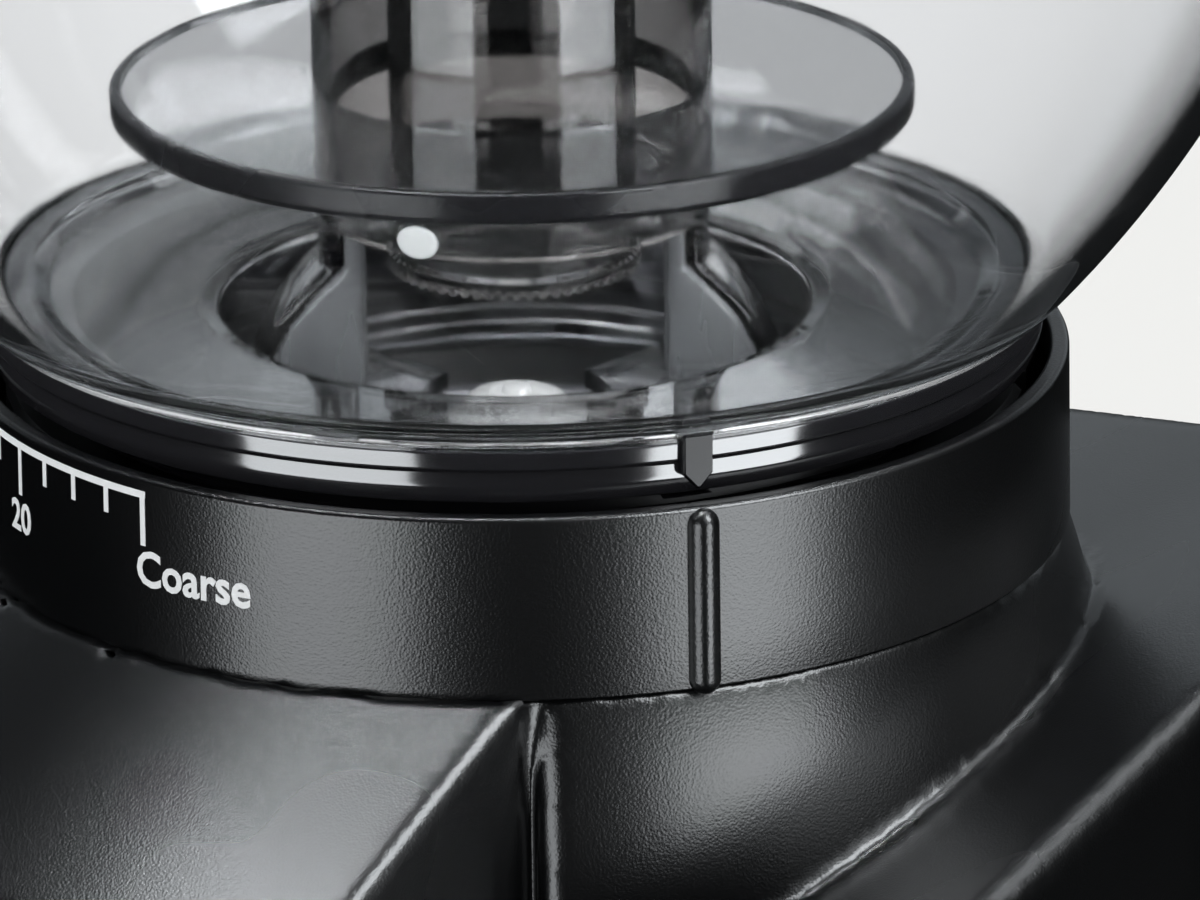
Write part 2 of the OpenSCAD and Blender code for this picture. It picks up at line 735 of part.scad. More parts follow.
function bowl_side(offset, n) =
    [for (i = [0:n]) let (a = bowl_start_a + (90 - bowl_start_a) * i / n)
        [bowl_arc_r + (bowl_curve - offset) * sin(a), bowl_arc_z - (bowl_curve - offset) * cos(a)]];
function reversed(v) = [for (i = [len(v) - 1:-1:0]) v[i]];

module hopper_bowl() {
    color([0.5, 0.5, 0.52, 0.5]) from_rim() rotate_extrude()
        polygon(concat([[48.6, 5.5], [50.3, 5.5]], bowl_side(0, 20),
            [[bowl_r, bowl_top], [bowl_r - bowl_wall, bowl_top]], reversed(bowl_side(bowl_wall, 20)),
            [[48.6, 7.4]]));
}

module hopper_neck() {
    color([0.35, 0.35, 0.37, 0.7]) from_rim() {
        rotate_extrude() polygon([[42, -8], [44, -8], [44, 0.4], [49.1, 0.4], [49.4, 3.3], [49.9, 4],
            [49.9, 5.4], [46.2, 5.4], [45, 3.8], [42, 3.4]]);
        at_angle(bead_a, 0) rotate([90, 0, 0]) translate([0, 0, 49.5]) linear_extrude(1.2)
            polygon([[-1.4, 5.4], [-1.4, 2.6], [0, 1.2], [1.4, 2.6], [1.4, 5.4]]);
    }
}

module hopper_floor() {
    color([0.3, 0.3, 0.32, 0.6]) from_rim() {
        rotate_extrude() polygon([[throat_r, shelf_z], [throat_r + 1.8, shelf_z], [throat_r + 1.8, 2],
            [30, 2.6], [44.4, 4.3], [46.3, 5.5], [48.4, 5.5], [48.4, 7.2], [46, 7.2], [44, 6],
            [30, 4.2], [throat_r, 3.6]]);
        for (a = [tower_a, tower_a + 180]) rotate([0, 0, a]) prism(shelf_z, shelf_z + shelf_h)
            sector(gate_inner, throat_r + 0.9, 44);
    }
}

// Leg of the guard tower: part of a flared skirt, hollow on its inner side.
module tower_leg() {
    foot = gate_z + gate_h;
    hollow = leg_w / 2 - leg_wall;
    difference() {
        intersection() {
            rotate_extrude() polygon([[leg_inner, foot], [leg_reach, foot], [leg_reach, -5.7],
                [26, -3], [23.3, 2.7], [21.3, 5.3], [column_r - 0.3, 8.3],
                [column_r - 0.3, tower_base + 1.5], [leg_inner, tower_base + 1.5]]);
            block(-leg_w / 2, leg_w / 2, -30, 0, foot, tower_base + 2);
        }
        intersection() {
            rotate_extrude() polygon([[0, foot - 1], [leg_reach - leg_wall, foot - 1],
                [leg_reach - leg_wall, -5.7], [26 - leg_wall, -3], [23.3 - leg_wall, 2.7],
                [21.3 - leg_wall, 5.3], [column_r - leg_wall - 0.3, 8.3], [15.6, 10.8], [0, 10.8]]);
            block(-hollow, hollow, -30, 0, foot - 2, tower_base);
        }
    }
}

module guard_tower() {
    color([0.35, 0.35, 0.37, 0.6]) from_rim() {
        ring(column_r, column_r - 1.8, tower_base, tower_top);
        for (a = [tower_a, tower_a + 180]) rotate([0, 0, a]) tower_leg();
    }
}

module guard_disc() {
    color([0.4, 0.4, 0.42, 0.6]) from_rim() ring(disc_r, column_r + 0.05, 22.2, 25.1);
}

module gate_plate() {
    color([0.3, 0.3, 0.32, 0.7]) from_rim() difference() {
        ring(leg_reach, gate_inner, gate_z, gate_z + gate_h);
        for (a = [tower_a + 90, tower_a + 270]) rotate([0, 0, a]) prism(gate_z - 1, gate_z + gate_h + 1)
            sector(gate_inner - 2, leg_reach - 2, 47);
    }
}

module lock_stem() {
    color([0.3, 0.3, 0.32]) from_rim() difference() {
        union() {
            ring(12, 10.4, 7, tower_top);
            ring(column_r - 1.9, 11.5, 30, 32);
        }
        for (a = [0:12:348]) at_angle(a, 12) block(-0.5, 0.5, -0.5, 1, 6, 7.8);
    }
}

module lock_knob() {
    color([0.2, 0.2, 0.21]) from_rim() difference() {
        union() {
            translate([0, 0, tower_top]) cylinder(r = 21, h = 9);
            translate([0, 0, tower_top - 4]) cylinder(r = 10.3, h = 5);
        }
        for (s = [-1, 1]) block(s * 11 - 6, s * 11 + 6, -18, 18, tower_top + 3, tower_top + 20);
    }
}

module lid() {
    color([0.4, 0.4, 0.42, 0.6]) from_rim() rotate_extrude()
        polygon([[0, bowl_top + 4], [60, bowl_top + 2.5], [74, bowl_top - 5], [76, bowl_top - 5],
            [76, bowl_top + 0.1], [bowl_r, bowl_top + 0.1], [bowl_r, bowl_top + 2.2],
            [75, bowl_top + 4.2], [61, bowl_top + 5], [0, bowl_top + 6.5]]);
}

module lid_seal() {
    color([0.2, 0.2, 0.2]) from_rim() ring(77.3, 76.05, bowl_top - 4.5, bowl_top - 2);
}

module lid_knob() {
    color([0.15, 0.15, 0.16]) from_rim() union() {
        translate([0, 0, bowl_top + 6.5]) cylinder(r = 9, h = 6);
        translate([0, 0, bowl_top + 12]) cylinder(r1 = 12, r2 = 15, h = 4);
        translate([0, 0, bowl_top + 15.9]) cylinder(r1 = 15, r2 = 13, h = 2.1);
    }
}

// ---------------------------------------------------------------- the pieces

base_plate();
rubber_feet();
base_housing();
column_housing();
front_panel();
head_housing();
head_underside();
top_collar();
grinding_chamber();
chamber_seal();
grind_chute();
chute_nozzle();
portafilter_fork();
gearbox_housing();
gearbox_cover();
motor_can();
motor_end_cap();
upper_bearing();
lower_bearing();
gear_axle();
vibration_mounts();
control_board();
start_switch();
timer_potentiometer();
hopper_switch();
power_switch_frame();
cord_gland();
vent_grille();
base_screws();
housing_screws();
motor_screws();
adjusting_ring();
burr_carrier();
outer_burr();
burr_screws();
burr_shaft();
drive_gear();
impeller();
inner_burr();
burr_nut();
intermediate_gear();
motor_rotor();
motor_pinion();
grounds_tray();
timer_knob();
start_button();
button_spring();
power_rocker();
hopper_bowl();
hopper_neck();
hopper_floor();
guard_tower();
guard_disc();
gate_plate();
lock_stem();
lock_knob();
lid();
lid_seal();
lid_knob();
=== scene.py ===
"""Looks of the burr coffee grinder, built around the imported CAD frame.

Shapes are worked out in millimetres about the burr axis, with z counted from the
centre of the collar's rim ("rim frame"). place() takes them to the row frame, in metres.
Angles round the axis run from the machine's front, counter-clockwise seen from above.
"""

import math

import bmesh
import bpy
import numpy as np
from mathutils import Matrix, Vector


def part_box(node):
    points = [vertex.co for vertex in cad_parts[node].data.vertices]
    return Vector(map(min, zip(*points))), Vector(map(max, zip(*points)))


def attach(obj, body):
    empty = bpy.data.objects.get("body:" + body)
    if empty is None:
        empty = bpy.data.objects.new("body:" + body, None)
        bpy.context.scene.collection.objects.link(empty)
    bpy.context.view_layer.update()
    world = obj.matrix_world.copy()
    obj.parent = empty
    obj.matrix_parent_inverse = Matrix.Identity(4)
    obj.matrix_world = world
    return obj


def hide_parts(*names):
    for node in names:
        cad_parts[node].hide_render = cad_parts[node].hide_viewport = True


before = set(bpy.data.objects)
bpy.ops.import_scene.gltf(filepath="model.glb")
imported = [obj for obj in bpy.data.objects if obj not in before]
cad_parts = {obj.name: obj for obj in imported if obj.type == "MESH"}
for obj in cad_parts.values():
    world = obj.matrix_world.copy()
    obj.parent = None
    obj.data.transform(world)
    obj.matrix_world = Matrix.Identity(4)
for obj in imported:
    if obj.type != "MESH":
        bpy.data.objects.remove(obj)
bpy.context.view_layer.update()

# ---------------------------------------------------------------- sizes from the frame

MM = 0.001


def mm_box(node):
    low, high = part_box(node)
    return np.array(low) / MM, np.array(high) / MM


RIM_Z = mm_box("top_collar")[1][2]
AXIS_Y = (mm_box("guard_disc")[0][1] + mm_box("guard_disc")[1][1]) / 2
HALF_W = mm_box("head_housing")[1][0]
REAR_D = mm_box("head_housing")[1][1] - AXIS_Y
HEAD_BOTTOM = mm_box("head_housing")[0][2] - RIM_Z
COLLAR_H = RIM_Z - mm_box("top_collar")[0][2]
COLUMN_FRONT = AXIS_Y - mm_box("column_housing")[0][1]
BASE_TOP = mm_box("base_housing")[1][2]
BOWL_R = mm_box("hopper_bowl")[1][1] - AXIS_Y
BOWL_TOP = mm_box("hopper_bowl")[1][2] - RIM_Z
DISC_LOW = mm_box("guard_disc")[0][2] - RIM_Z
DISC_HIGH = mm_box("guard_disc")[1][2] - RIM_Z
DISC_R = (mm_box("guard_disc")[1][1] - mm_box("guard_disc")[0][1]) / 2

COLLAR_R = 52.0
DRUM_R = 56.0
BEAD_ANGLE = 117.3
COLUMN_R = 18.7
FACET_ANGLE = math.radians(60)
FACET_D = 77.3

# ---------------------------------------------------------------- camera of the photograph

VIEW_ANGLE = 99.4
VIEW_HEIGHT = 18.16
VIEW_DISTANCE = 565.3
VIEW_ROLL = -0.81
AIM_RIGHT = 0.804
AIM_DOWN = 1.137


def radial(angle, r=1.0):
    """Point at a distance from the axis, at an angle from the front."""
    return np.array([r * math.sin(math.radians(angle)), -r * math.cos(math.radians(angle)), 0.0])


def place(points):
    """Millimetres in the rim frame to metres in the row frame."""
    return (np.asarray(points, float).reshape(-1, 3) + [0, AXIS_Y, RIM_Z]) * MM


def set_camera():
    data = bpy.data.cameras.new("photo_camera")
    data.sensor_width = 36
    data.lens = 180
    data.clip_end = 20
    camera = bpy.data.objects.new("photo_camera", data)
    bpy.context.scene.collection.objects.link(camera)
    bpy.context.scene.camera = camera
    height = math.radians(VIEW_HEIGHT)
    back = Vector(radial(VIEW_ANGLE) * math.cos(height)) + Vector((0, 0, math.sin(height)))
    right = Vector((0, 0, 1)).cross(back).normalized()
    up = back.cross(right)
    turn = Matrix((right, up, back)).transposed()
    turn = turn @ Matrix.Rotation(math.radians(VIEW_ROLL), 3, "Z")
    turn = turn @ Matrix.Rotation(math.radians(-AIM_RIGHT), 3, "Y")
    turn = turn @ Matrix.Rotation(math.radians(-AIM_DOWN), 3, "X")
    camera.matrix_world = Matrix.Translation(
        Vector(place([0, 0, 0])[0]) + back * VIEW_DISTANCE * MM) @ turn.to_4x4()


# ---------------------------------------------------------------- mesh helpers

def make_piece(name, verts, faces, material, body, nodes=(), slot=None, placed=True, sharp=None):
    """Closed smooth mesh that rides on a CAD body and stands for CAD nodes."""
    mesh = bpy.data.meshes.new(name)
    points = place(verts) if placed else np.asarray(verts, float)
    mesh.from_pydata(points.tolist(), [], [tuple(int(i) for i in f) for f in faces])
    bm = bmesh.new()
    bm.from_mesh(mesh)
    bmesh.ops.remove_doubles(bm, verts=bm.verts, dist=2e-6)
    bmesh.ops.recalc_face_normals(bm, faces=bm.faces)
    bm.to_mesh(mesh)
    bm.free()
    mesh.shade_smooth()
    mesh.materials.append(material)
    obj = bpy.data.objects.new(name, mesh)
    bpy.context.scene.collection.objects.link(obj)
    if sharp is not None:
        mesh.set_sharp_from_angle(angle=math.radians(sharp))
        weighted = obj.modifiers.new("even_shading", "WEIGHTED_NORMAL")
        weighted.keep_sharp = True
    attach(obj, body)
    if nodes:
        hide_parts(*nodes)
    return obj


def rounded(corners, radius=0.4, steps=4):
    """Closed outline with its corners rounded. A corner may carry its own radius as a third value."""
    out = []
    count = len(corners)
    for i in range(count):
        p = np.array(corners[i][:2], float)
        r = corners[i][2] if len(corners[i]) > 2 else radius
        a = np.array(corners[i - 1][:2], float) - p
        b = np.array(corners[(i + 1) % count][:2], float) - p
        la, lb = np.linalg.norm(a), np.linalg.norm(b)
        a, b = a / la, b / lb
        half = math.acos(max(-1.0, min(1.0, float(a @ b)))) / 2
        if r <= 0 or half > math.radians(88):
            out.append(tuple(p))
            continue
        back = min(r / math.tan(half), la * 0.49, lb * 0.49)
        r = back * math.tan(half)
        centre = p + (a + b) / np.linalg.norm(a + b) * r / math.sin(half)
        start = p + a * back - centre
        end = p + b * back - centre
        sweep = math.atan2(start[0] * end[1] - start[1] * end[0], float(start @ end))
        for k in range(steps + 1):
            t = sweep * k / steps
            c, s = math.cos(t), math.sin(t)
            out.append(tuple(centre + [start[0] * c - start[1] * s, start[0] * s + start[1] * c]))
    return out


def lathe(outline, segments=240):
    """Turns a closed outline of (radius, height) round the axis."""
    angles = np.linspace(0, 2 * math.pi, segments, endpoint=False)
    outline = np.array(outline, float)
    count = len(outline)
    verts = np.empty((segments, count, 3))
    verts[:, :, 0] = np.sin(angles)[:, None] * outline[None, :, 0]
    verts[:, :, 1] = -np.cos(angles)[:, None] * outline[None, :, 0]
    verts[:, :, 2] = outline[None, :, 1]
    i = np.arange(segments)[:, None] * count
    j = np.arange(count)[None, :]
    i2 = np.roll(np.arange(segments), -1)[:, None] * count
    j2 = np.roll(np.arange(count), -1)[None, :]
    faces = np.stack([i + j, i2 + j, i2 + j2, i + j2], -1).reshape(-1, 4)
    return verts.reshape(-1, 3), faces


def surface_net(field, low, high, cell):
    """Mesh of the zero level of a signed distance field, with its points drawn onto that level."""
    axes = [np.arange(low[k], high[k] + cell, cell) for k in range(3)]
    grid = np.stack(np.meshgrid(*axes, indexing="ij"), -1)
    value = field(grid[..., 0], grid[..., 1], grid[..., 2])
    inside = value < 0
    shape = np.array(inside.shape) - 1
    corners = [(a, b, c) for a in (0, 1) for b in (0, 1) for c in (0, 1)]

    def corner(array, k):
        a, b, c = corners[k]
        return array[a:a + shape[0], b:b + shape[1], c:c + shape[2]]

    filled = sum(corner(inside, k).astype(np.int8) for k in range(8))
    active = (filled > 0) & (filled < 8)
    where = np.argwhere(active)
    index = -np.ones(active.shape, np.int64)
    index[active] = np.arange(len(where))
    total = np.zeros((len(where), 3))
    hits = np.zeros(len(where))
    for k in range(8):
        for axis in range(3):
            if corners[k][axis]:
                continue
            other = corners.index(tuple(c + (n == axis) for n, c in enumerate(corners[k])))
            va, vb = corner(value, k)[active], corner(value, other)[active]
            crossed = (va < 0) != (vb < 0)
            t = np.where(crossed, va / np.where(crossed, va - vb, 1), 0)
            point = np.tile(np.array(corners[k], float), (len(where), 1))
            point[:, axis] += t
            total += point * crossed[:, None]
            hits += crossed
    verts = np.array(low) + (where + total / hits[:, None]) * cell
    faces = []
    for axis in range(3):
        u, v = [(1, 2), (2, 0), (0, 1)][axis]
        a = inside
        b = np.roll(inside, -1, axis)
        edge = a != b
        span = [slice(None)] * 3
        for n in range(3):
            span[n] = slice(0, shape[n]) if n == axis else slice(1, shape[n])
        cells = np.argwhere(edge[tuple(span)])
        for n in (u, v):
            cells[:, n] += 1
        outward = a[tuple(cells.T)]
        step_u, step_v = np.eye(3, dtype=int)[u], np.eye(3, dtype=int)[v]
        steps = (0 * step_u, step_u, step_u + step_v, step_v)
        quad = np.stack([index[tuple((cells - step).T)] for step in steps], -1)
        quad[~outward] = quad[~outward][:, ::-1]
        faces.append(quad)
    faces = np.concatenate(faces)
    faces = faces[(faces >= 0).all(1)]
    h = 0.02
    for _ in range(4):
        x, y, z = verts.T
        d = field(x, y, z)
        g = np.stack([field(x + h, y, z) - field(x - h, y, z), field(x, y + h, z) - field(x, y - h, z),
                      field(x, y, z + h) - field(x, y, z - h)], -1) / (2 * h)
        length = np.maximum((g * g).sum(-1), 0.25)
        step = np.clip(d / length, -cell * 0.5, cell * 0.5)
        verts = verts - g * step[:, None]
    return verts, faces


def round_cut(a, b, r):
    """Intersection of two distance fields with its edge rounded."""
    u, v = np.maximum(r + a, 0), np.maximum(r + b, 0)
    return np.minimum(-r, np.maximum(a, b)) + np.sqrt(u * u + v * v)


def round_join(a, b, r):
    """Union of two distance fields with a fillet in its corner."""
    return -round_cut(-a, -b, r)


def slab(v, low, high):
    return np.maximum(low - v, v - high)


# ---------------------------------------------------------------- materials

class Shader:
    """Small wrapper that builds a node material."""

    def __init__(self, name):
        self.material = bpy.data.materials.new(name)
        self.material.use_nodes = True
        self.tree = self.material.node_tree
        self.surface = self.tree.nodes["Principled BSDF"]
        self.output = self.tree.nodes["Material Output"]

    def node(self, kind, **values):
        made = self.tree.nodes.new(kind)
        for key, value in values.items():
            if key in made.inputs:
                made.inputs[key].default_value = value
            else:
                setattr(made, key, value)
        return made

    def link(self, out, into):
        self.tree.links.new(out, into)

    def base(self, color, roughness, **sockets):
        self.surface.inputs["Base Color"].default_value = (*color, 1)
        self.surface.inputs["Roughness"].default_value = roughness
        for key, value in sockets.items():
            self.surface.inputs[key].default_value = value
        return self

    def coordinates(self, scale=(1, 1, 1)):
        where = self.node("ShaderNodeTexCoord")
        mapping = self.node("ShaderNodeMapping")
        mapping.inputs["Scale"].default_value = scale
        self.link(where.outputs["Object"], mapping.inputs["Vector"])
        return mapping.outputs["Vector"]

    def noise(self, scale, detail=2.0, vector=None):
        made = self.node("ShaderNodeTexNoise", Scale=scale, Detail=detail)
        self.link(vector or self.coordinates(), made.inputs["Vector"])
        return made.outputs["Fac"]

    def cells(self, scale, feature="SMOOTH_F1", vector=None):
        made = self.node("ShaderNodeTexVoronoi", Scale=scale)
        made.feature = feature
        self.link(vector or self.coordinates(), made.inputs["Vector"])
        return made.outputs["Distance"]

    def spread(self, value, low, high, out_low, out_high):
        made = self.node("ShaderNodeMapRange")
        for socket, number in zip(list(made.inputs)[1:5], (low, high, out_low, out_high)):
            socket.default_value = number
        self.link(value, made.inputs["Value"])
        return made.outputs["Result"]

    def tint(self, value, dark, light):
        made = self.node("ShaderNodeMix", data_type="RGBA")
        colors = [s for s in made.inputs if s.type == "RGBA"]
        colors[0].default_value = (*dark, 1)
        colors[1].default_value = (*light, 1)
        self.link(value, made.inputs["Factor"])
        out = [s for s in made.outputs if s.type == "RGBA"][0]
        self.link(out, self.surface.inputs["Base Color"])
        return self

    def rough(self, value, low, high):
        self.link(self.spread(value, 0.3, 0.7, low, high), self.surface.inputs["Roughness"])
        return self

    def bump(self, height, strength, depth, under=None):
        made = self.node("ShaderNodeBump", Strength=strength, Distance=depth)
        self.link(height, made.inputs["Height"])
        if under is not None:
            self.link(under, made.inputs["Normal"])
        self.link(made.outputs["Normal"], self.surface.inputs["Normal"])
        return made.outputs["Normal"]


def grained_plastic(name, color, roughness, grain=0.00022, strength=0.35):
    """Moulded plastic with a fine pebble grain."""
    s = Shader(name).base(color, roughness)
    cell = s.cells(1 / grain)
    coarse = s.noise(0.3 / grain, 3)
    drift = s.noise(18, 2)
    s.tint(s.spread(cell, 0.1, 0.6, 0, 1), tuple(c * 0.75 for c in color), tuple(c * 1.3 for c in color))
    s.rough(drift, roughness - 0.03, roughness + 0.03)
    low = s.bump(coarse, strength * 0.3, 0.00003)
    s.bump(cell, strength, 0.00005, low)
    return s.material


def satin_plastic(name, color, roughness):
    """Smooth satin moulding with a faint spark-eroded texture."""
    s = Shader(name).base(color, roughness)
    fine = s.noise(2600, 3)
    drift = s.noise(25, 2)
    s.tint(drift, tuple(c * 0.88 for c in color), tuple(c * 1.12 for c in color))
    s.rough(drift, roughness - 0.04, roughness + 0.05)
    s.bump(fine, 0.12, 0.00003)
    return s.material


def clear_plastic(name, color, depth, roughness=0.03):
    """Smoked clear plastic that darkens with the length of the path through it."""
    s = Shader(name).base((1, 1, 1), roughness, **{"IOR": 1.49, "Transmission Weight": 1.0})
    ripple = s.noise(60, 2)
    scuff = s.noise(900, 4)
    low = s.bump(ripple, 0.05, 0.0004)
    s.bump(scuff, 0.02, 0.00002, low)
    s.rough(s.noise(200, 3), roughness * 0.6, roughness * 1.6)
    path = s.node("ShaderNodeLightPath")
    clear = s.node("ShaderNodeBsdfTransparent")
    clear.inputs["Color"].default_value = (*[0.75 + 0.25 * c for c in color], 1)
    mix = s.node("ShaderNodeMixShader")
    s.link(path.outputs["Is Shadow Ray"], mix.inputs[0])
    s.link(s.surface.outputs[0], mix.inputs[1])
    s.link(clear.outputs[0], mix.inputs[2])
    s.link(mix.outputs[0], s.output.inputs["Surface"])
    smoke = s.node("ShaderNodeVolumeAbsorption")
    smoke.inputs["Color"].default_value = (*color, 1)
    smoke.inputs["Density"].default_value = 1 / (depth * MM)
    s.link(smoke.outputs[0], s.output.inputs["Volume"])
    return s.material


def smoked_ring(name, color, roughness, ior):
    """Smoked plastic seen edge on, so deep that it looks black under its gloss."""
    s = Shader(name).base(color, roughness, **{"IOR": ior})
    drift = s.noise(45, 2)
    s.tint(drift, tuple(c * 0.8 for c in color), tuple(c * 1.15 for c in color))
    s.rough(drift, roughness * 0.8, roughness * 1.3)
    s.bump(s.noise(700, 3), 0.03, 0.00003)
    return s.material


def cloudy_plastic(name, color):
    """Smoked plastic with a slight haze."""
    s = Shader(name).base(color, 0.12, **{"IOR": 1.49, "Transmission Weight": 0.6})
    haze = s.noise(220, 3, s.coordinates((1, 1, 0.15)))
    s.tint(haze, tuple(c * 0.6 for c in color), tuple(c * 1.3 for c in color))
    s.rough(haze, 0.08, 0.2)
    s.bump(haze, 0.1, 0.0002)
    return s.material


def metal(name, color, roughness, brushed=False):
    s = Shader(name).base(color, roughness, Metallic=1.0)
    vector = s.coordinates((1, 1, 30)) if brushed else s.coordinates()
    streaks = s.noise(400, 3, vector)
    s.rough(streaks, roughness * 0.8, roughness * 1.3)
    s.bump(streaks, 0.06, 0.00002)
    return s.material


def bright_nut(name, color):
    """Bead-blasted nickel plate."""
    s = Shader(name).base(color, 0.3, Metallic=0.1)
    s.rough(s.noise(300, 3), 0.24, 0.4)
    s.bump(s.noise(1800, 3), 0.08, 0.00003)
    return s.material


def soft_rubber(name, color):
    s = Shader(name).base(color, 0.75)
    fine = s.noise(1500, 4)
    s.tint(s.noise(40, 2), tuple(c * 0.8 for c in color), tuple(c * 1.25 for c in color))
    s.bump(fine, 0.3, 0.00005)
    return s.material


def felt(name, color):
    s = Shader(name).base(color, 0.95, **{"Sheen Weight": 0.4})
    fibre = s.noise(2500, 5, s.coordinates((1, 1, 3)))
    s.tint(fibre, tuple(c * 0.7 for c in color), color)
    s.bump(fibre, 0.6, 0.0002)
    return s.material


def circuit_board(name):
    s = Shader(name).base((0.02, 0.12, 0.05), 0.4)
    tracks = s.cells(350, "F1")
    s.tint(s.spread(tracks, 0.28, 0.32, 0, 1), (0.03, 0.17, 0.07), (0.015, 0.09, 0.04))
    s.bump(tracks, 0.2, 0.00003)
    return s.material


def windings(name):
    s = Shader(name).base((0.45, 0.2, 0.08), 0.35, Metallic=0.8)
    wires = s.node("ShaderNodeTexWave", Scale=700.0, Distortion=0.6)
    s.link(s.coordinates((1, 1, 0.4)), wires.inputs["Vector"])
    s.tint(wires.outputs["Fac"], (0.2, 0.08, 0.03), (0.6, 0.28, 0.12))
    s.bump(wires.outputs["Fac"], 0.4, 0.0001)
    return s.material


def print_ink(name, color):
    s = Shader(name).base(color, 0.55)
    s.tint(s.noise(1800, 3), tuple(c * 0.9 for c in color), color)
    return s.material


BLACK = (0.0014, 0.0016, 0.002)
HOUSING = grained_plastic("housing_black", BLACK, 0.27)
TRIM = satin_plastic("trim_black", (0.003, 0.003, 0.0035), 0.34)
PANEL = satin_plastic("panel_grey", (0.05, 0.05, 0.053), 0.33)
GLOSS = satin_plastic("gloss_black", (0.008, 0.008, 0.009), 0.12)
CLEAR = clear_plastic("clear_smoke", (0.55, 0.56, 0.57), 40.0)
DISC = clear_plastic("disc_smoke", (0.5, 0.51, 0.53), 6.0)
TOWER = clear_plastic("tower_smoke", (0.42, 0.4, 0.39), 2.0)
LEGS = cloudy_plastic("leg_smoke", (0.3, 0.31, 0.32))
RING = smoked_ring("ring_smoke", (0.012, 0.012, 0.014), 0.1, 1.9)
RIM = smoked_ring("rim_smoke", (0.006, 0.006, 0.007), 0.22, 1.3)
DARK_CLEAR = clear_plastic("dark_smoke", (0.5, 0.51, 0.53), 6.0)
RUBBER = soft_rubber("rubber", (0.012, 0.012, 0.012))
FELT = felt("felt", (0.45, 0.43, 0.4))
DIECAST = metal("diecast", (0.5, 0.5, 0.52), 0.5)
STEEL = metal("burr_steel", (0.42, 0.42, 0.44), 0.32, brushed=True)
ZINC = metal("fastener_steel", (0.62, 0.62, 0.64), 0.28)
CHROME = bright_nut("nut_chrome", (0.95, 0.95, 0.94))
CAN_STEEL = metal("motor_steel", (0.45, 0.45, 0.47), 0.35, brushed=True)
BRASS = metal("pinion_brass", (0.65, 0.5, 0.22), 0.3)
NYLON = satin_plastic("gear_nylon", (0.6, 0.57, 0.48), 0.4)
BOARD = circuit_board("circuit_green")
COPPER = windings("copper_rotor")
ROCKER_RED = satin_plastic("rocker_red", (0.22, 0.012, 0.012), 0.18)
INK = print_ink("dial_ink", (0.78, 0.8, 0.82))
PEARL = print_ink("dot_pearl", (0.5, 0.51, 0.5))

CAD_LOOKS = {
    TRIM: ["head_underside", "grind_chute", "chute_nozzle", "motor_end_cap", "start_switch", "hopper_switch",
           "adjusting_ring", "burr_carrier", "impeller", "power_switch_frame"],
    HOUSING: ["vent_grille"],
    PANEL: ["base_plate"],
    RUBBER: ["vibration_mounts", "lid_seal", "rubber_feet", "cord_gland"],
    FELT: ["chamber_seal"],
    DIECAST: ["grinding_chamber", "gearbox_housing", "gearbox_cover"],
    STEEL: ["burr_shaft", "outer_burr", "inner_burr"],
    ZINC: ["upper_bearing", "lower_bearing", "gear_axle", "base_screws", "housing_screws",
           "motor_screws", "burr_screws", "button_spring"],
    CAN_STEEL: ["motor_can", "timer_potentiometer"],
    BRASS: ["motor_pinion"],
    NYLON: ["drive_gear", "intermediate_gear"],
    BOARD: ["control_board"],
    COPPER: ["motor_rotor"],
    ROCKER_RED: ["power_rocker"],
}


def dress_cad_nodes():
    """Gives the CAD nodes that stay their materials and soft edges."""
    for material, names in CAD_LOOKS.items():
        for name in names:
            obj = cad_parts[name]
            obj.data.materials.clear()
            obj.data.materials.append(material)
            edges = obj.modifiers.new("soft_edges", "BEVEL")
            edges.width = 0.25 * MM
            edges.segments = 2
            edges.limit_method = "ANGLE"
            edges.angle_limit = math.radians(40)
            edges.harden_normals = True


# ---------------------------------------------------------------- studio

def studio_panel(name, angle, height, spans, glow, distance=1.5):
    """Softbox that shows only in gloss, in degrees from the camera's side and above the rim."""
    data = bpy.data.lights.new(name, "AREA")
    data.shape = "RECTANGLE"
    data.size, data.size_y = [2 * distance * math.tan(math.radians(span / 2)) for span in spans]
    data.energy = glow * math.pi * data.size * data.size_y
    data.color = (0.93, 0.97, 1.0)
    obj = bpy.data.objects.new(name, data)
    bpy.context.scene.collection.objects.link(obj)
    target = Vector(place([0, 0, 0])[0])
    tilt = math.radians(height)
    away = Vector(radial(VIEW_ANGLE + angle)) * math.cos(tilt) + Vector((0, 0, math.sin(tilt)))
    obj.location = target + away * distance
    obj.rotation_mode = "QUATERNION"
    obj.rotation_quaternion = away.to_track_quat("Z", "Y")
    obj.visible_camera = False
    obj.visible_diffuse = False
    return obj


def set_floor():
    mesh = bpy.data.meshes.new("studio_floor")
    half = 6.0
    corners = [(-half, -half, 0), (half, -half, 0), (half, half, 0), (-half, half, 0)]
    mesh.from_pydata(corners, [], [(0, 1, 2, 3)])
    floor = bpy.data.objects.new("studio_floor", mesh)
    bpy.context.scene.collection.objects.link(floor)
    s = Shader("studio_floor").base((0.86, 0.86, 0.85), 0.9)
    s.tint(s.noise(3, 2), (0.85, 0.85, 0.84), (0.87, 0.87, 0.86))
    mesh.materials.append(s.material)
    floor.visible_glossy = False
    floor.visible_transmission = False
    floor.visible_shadow = False


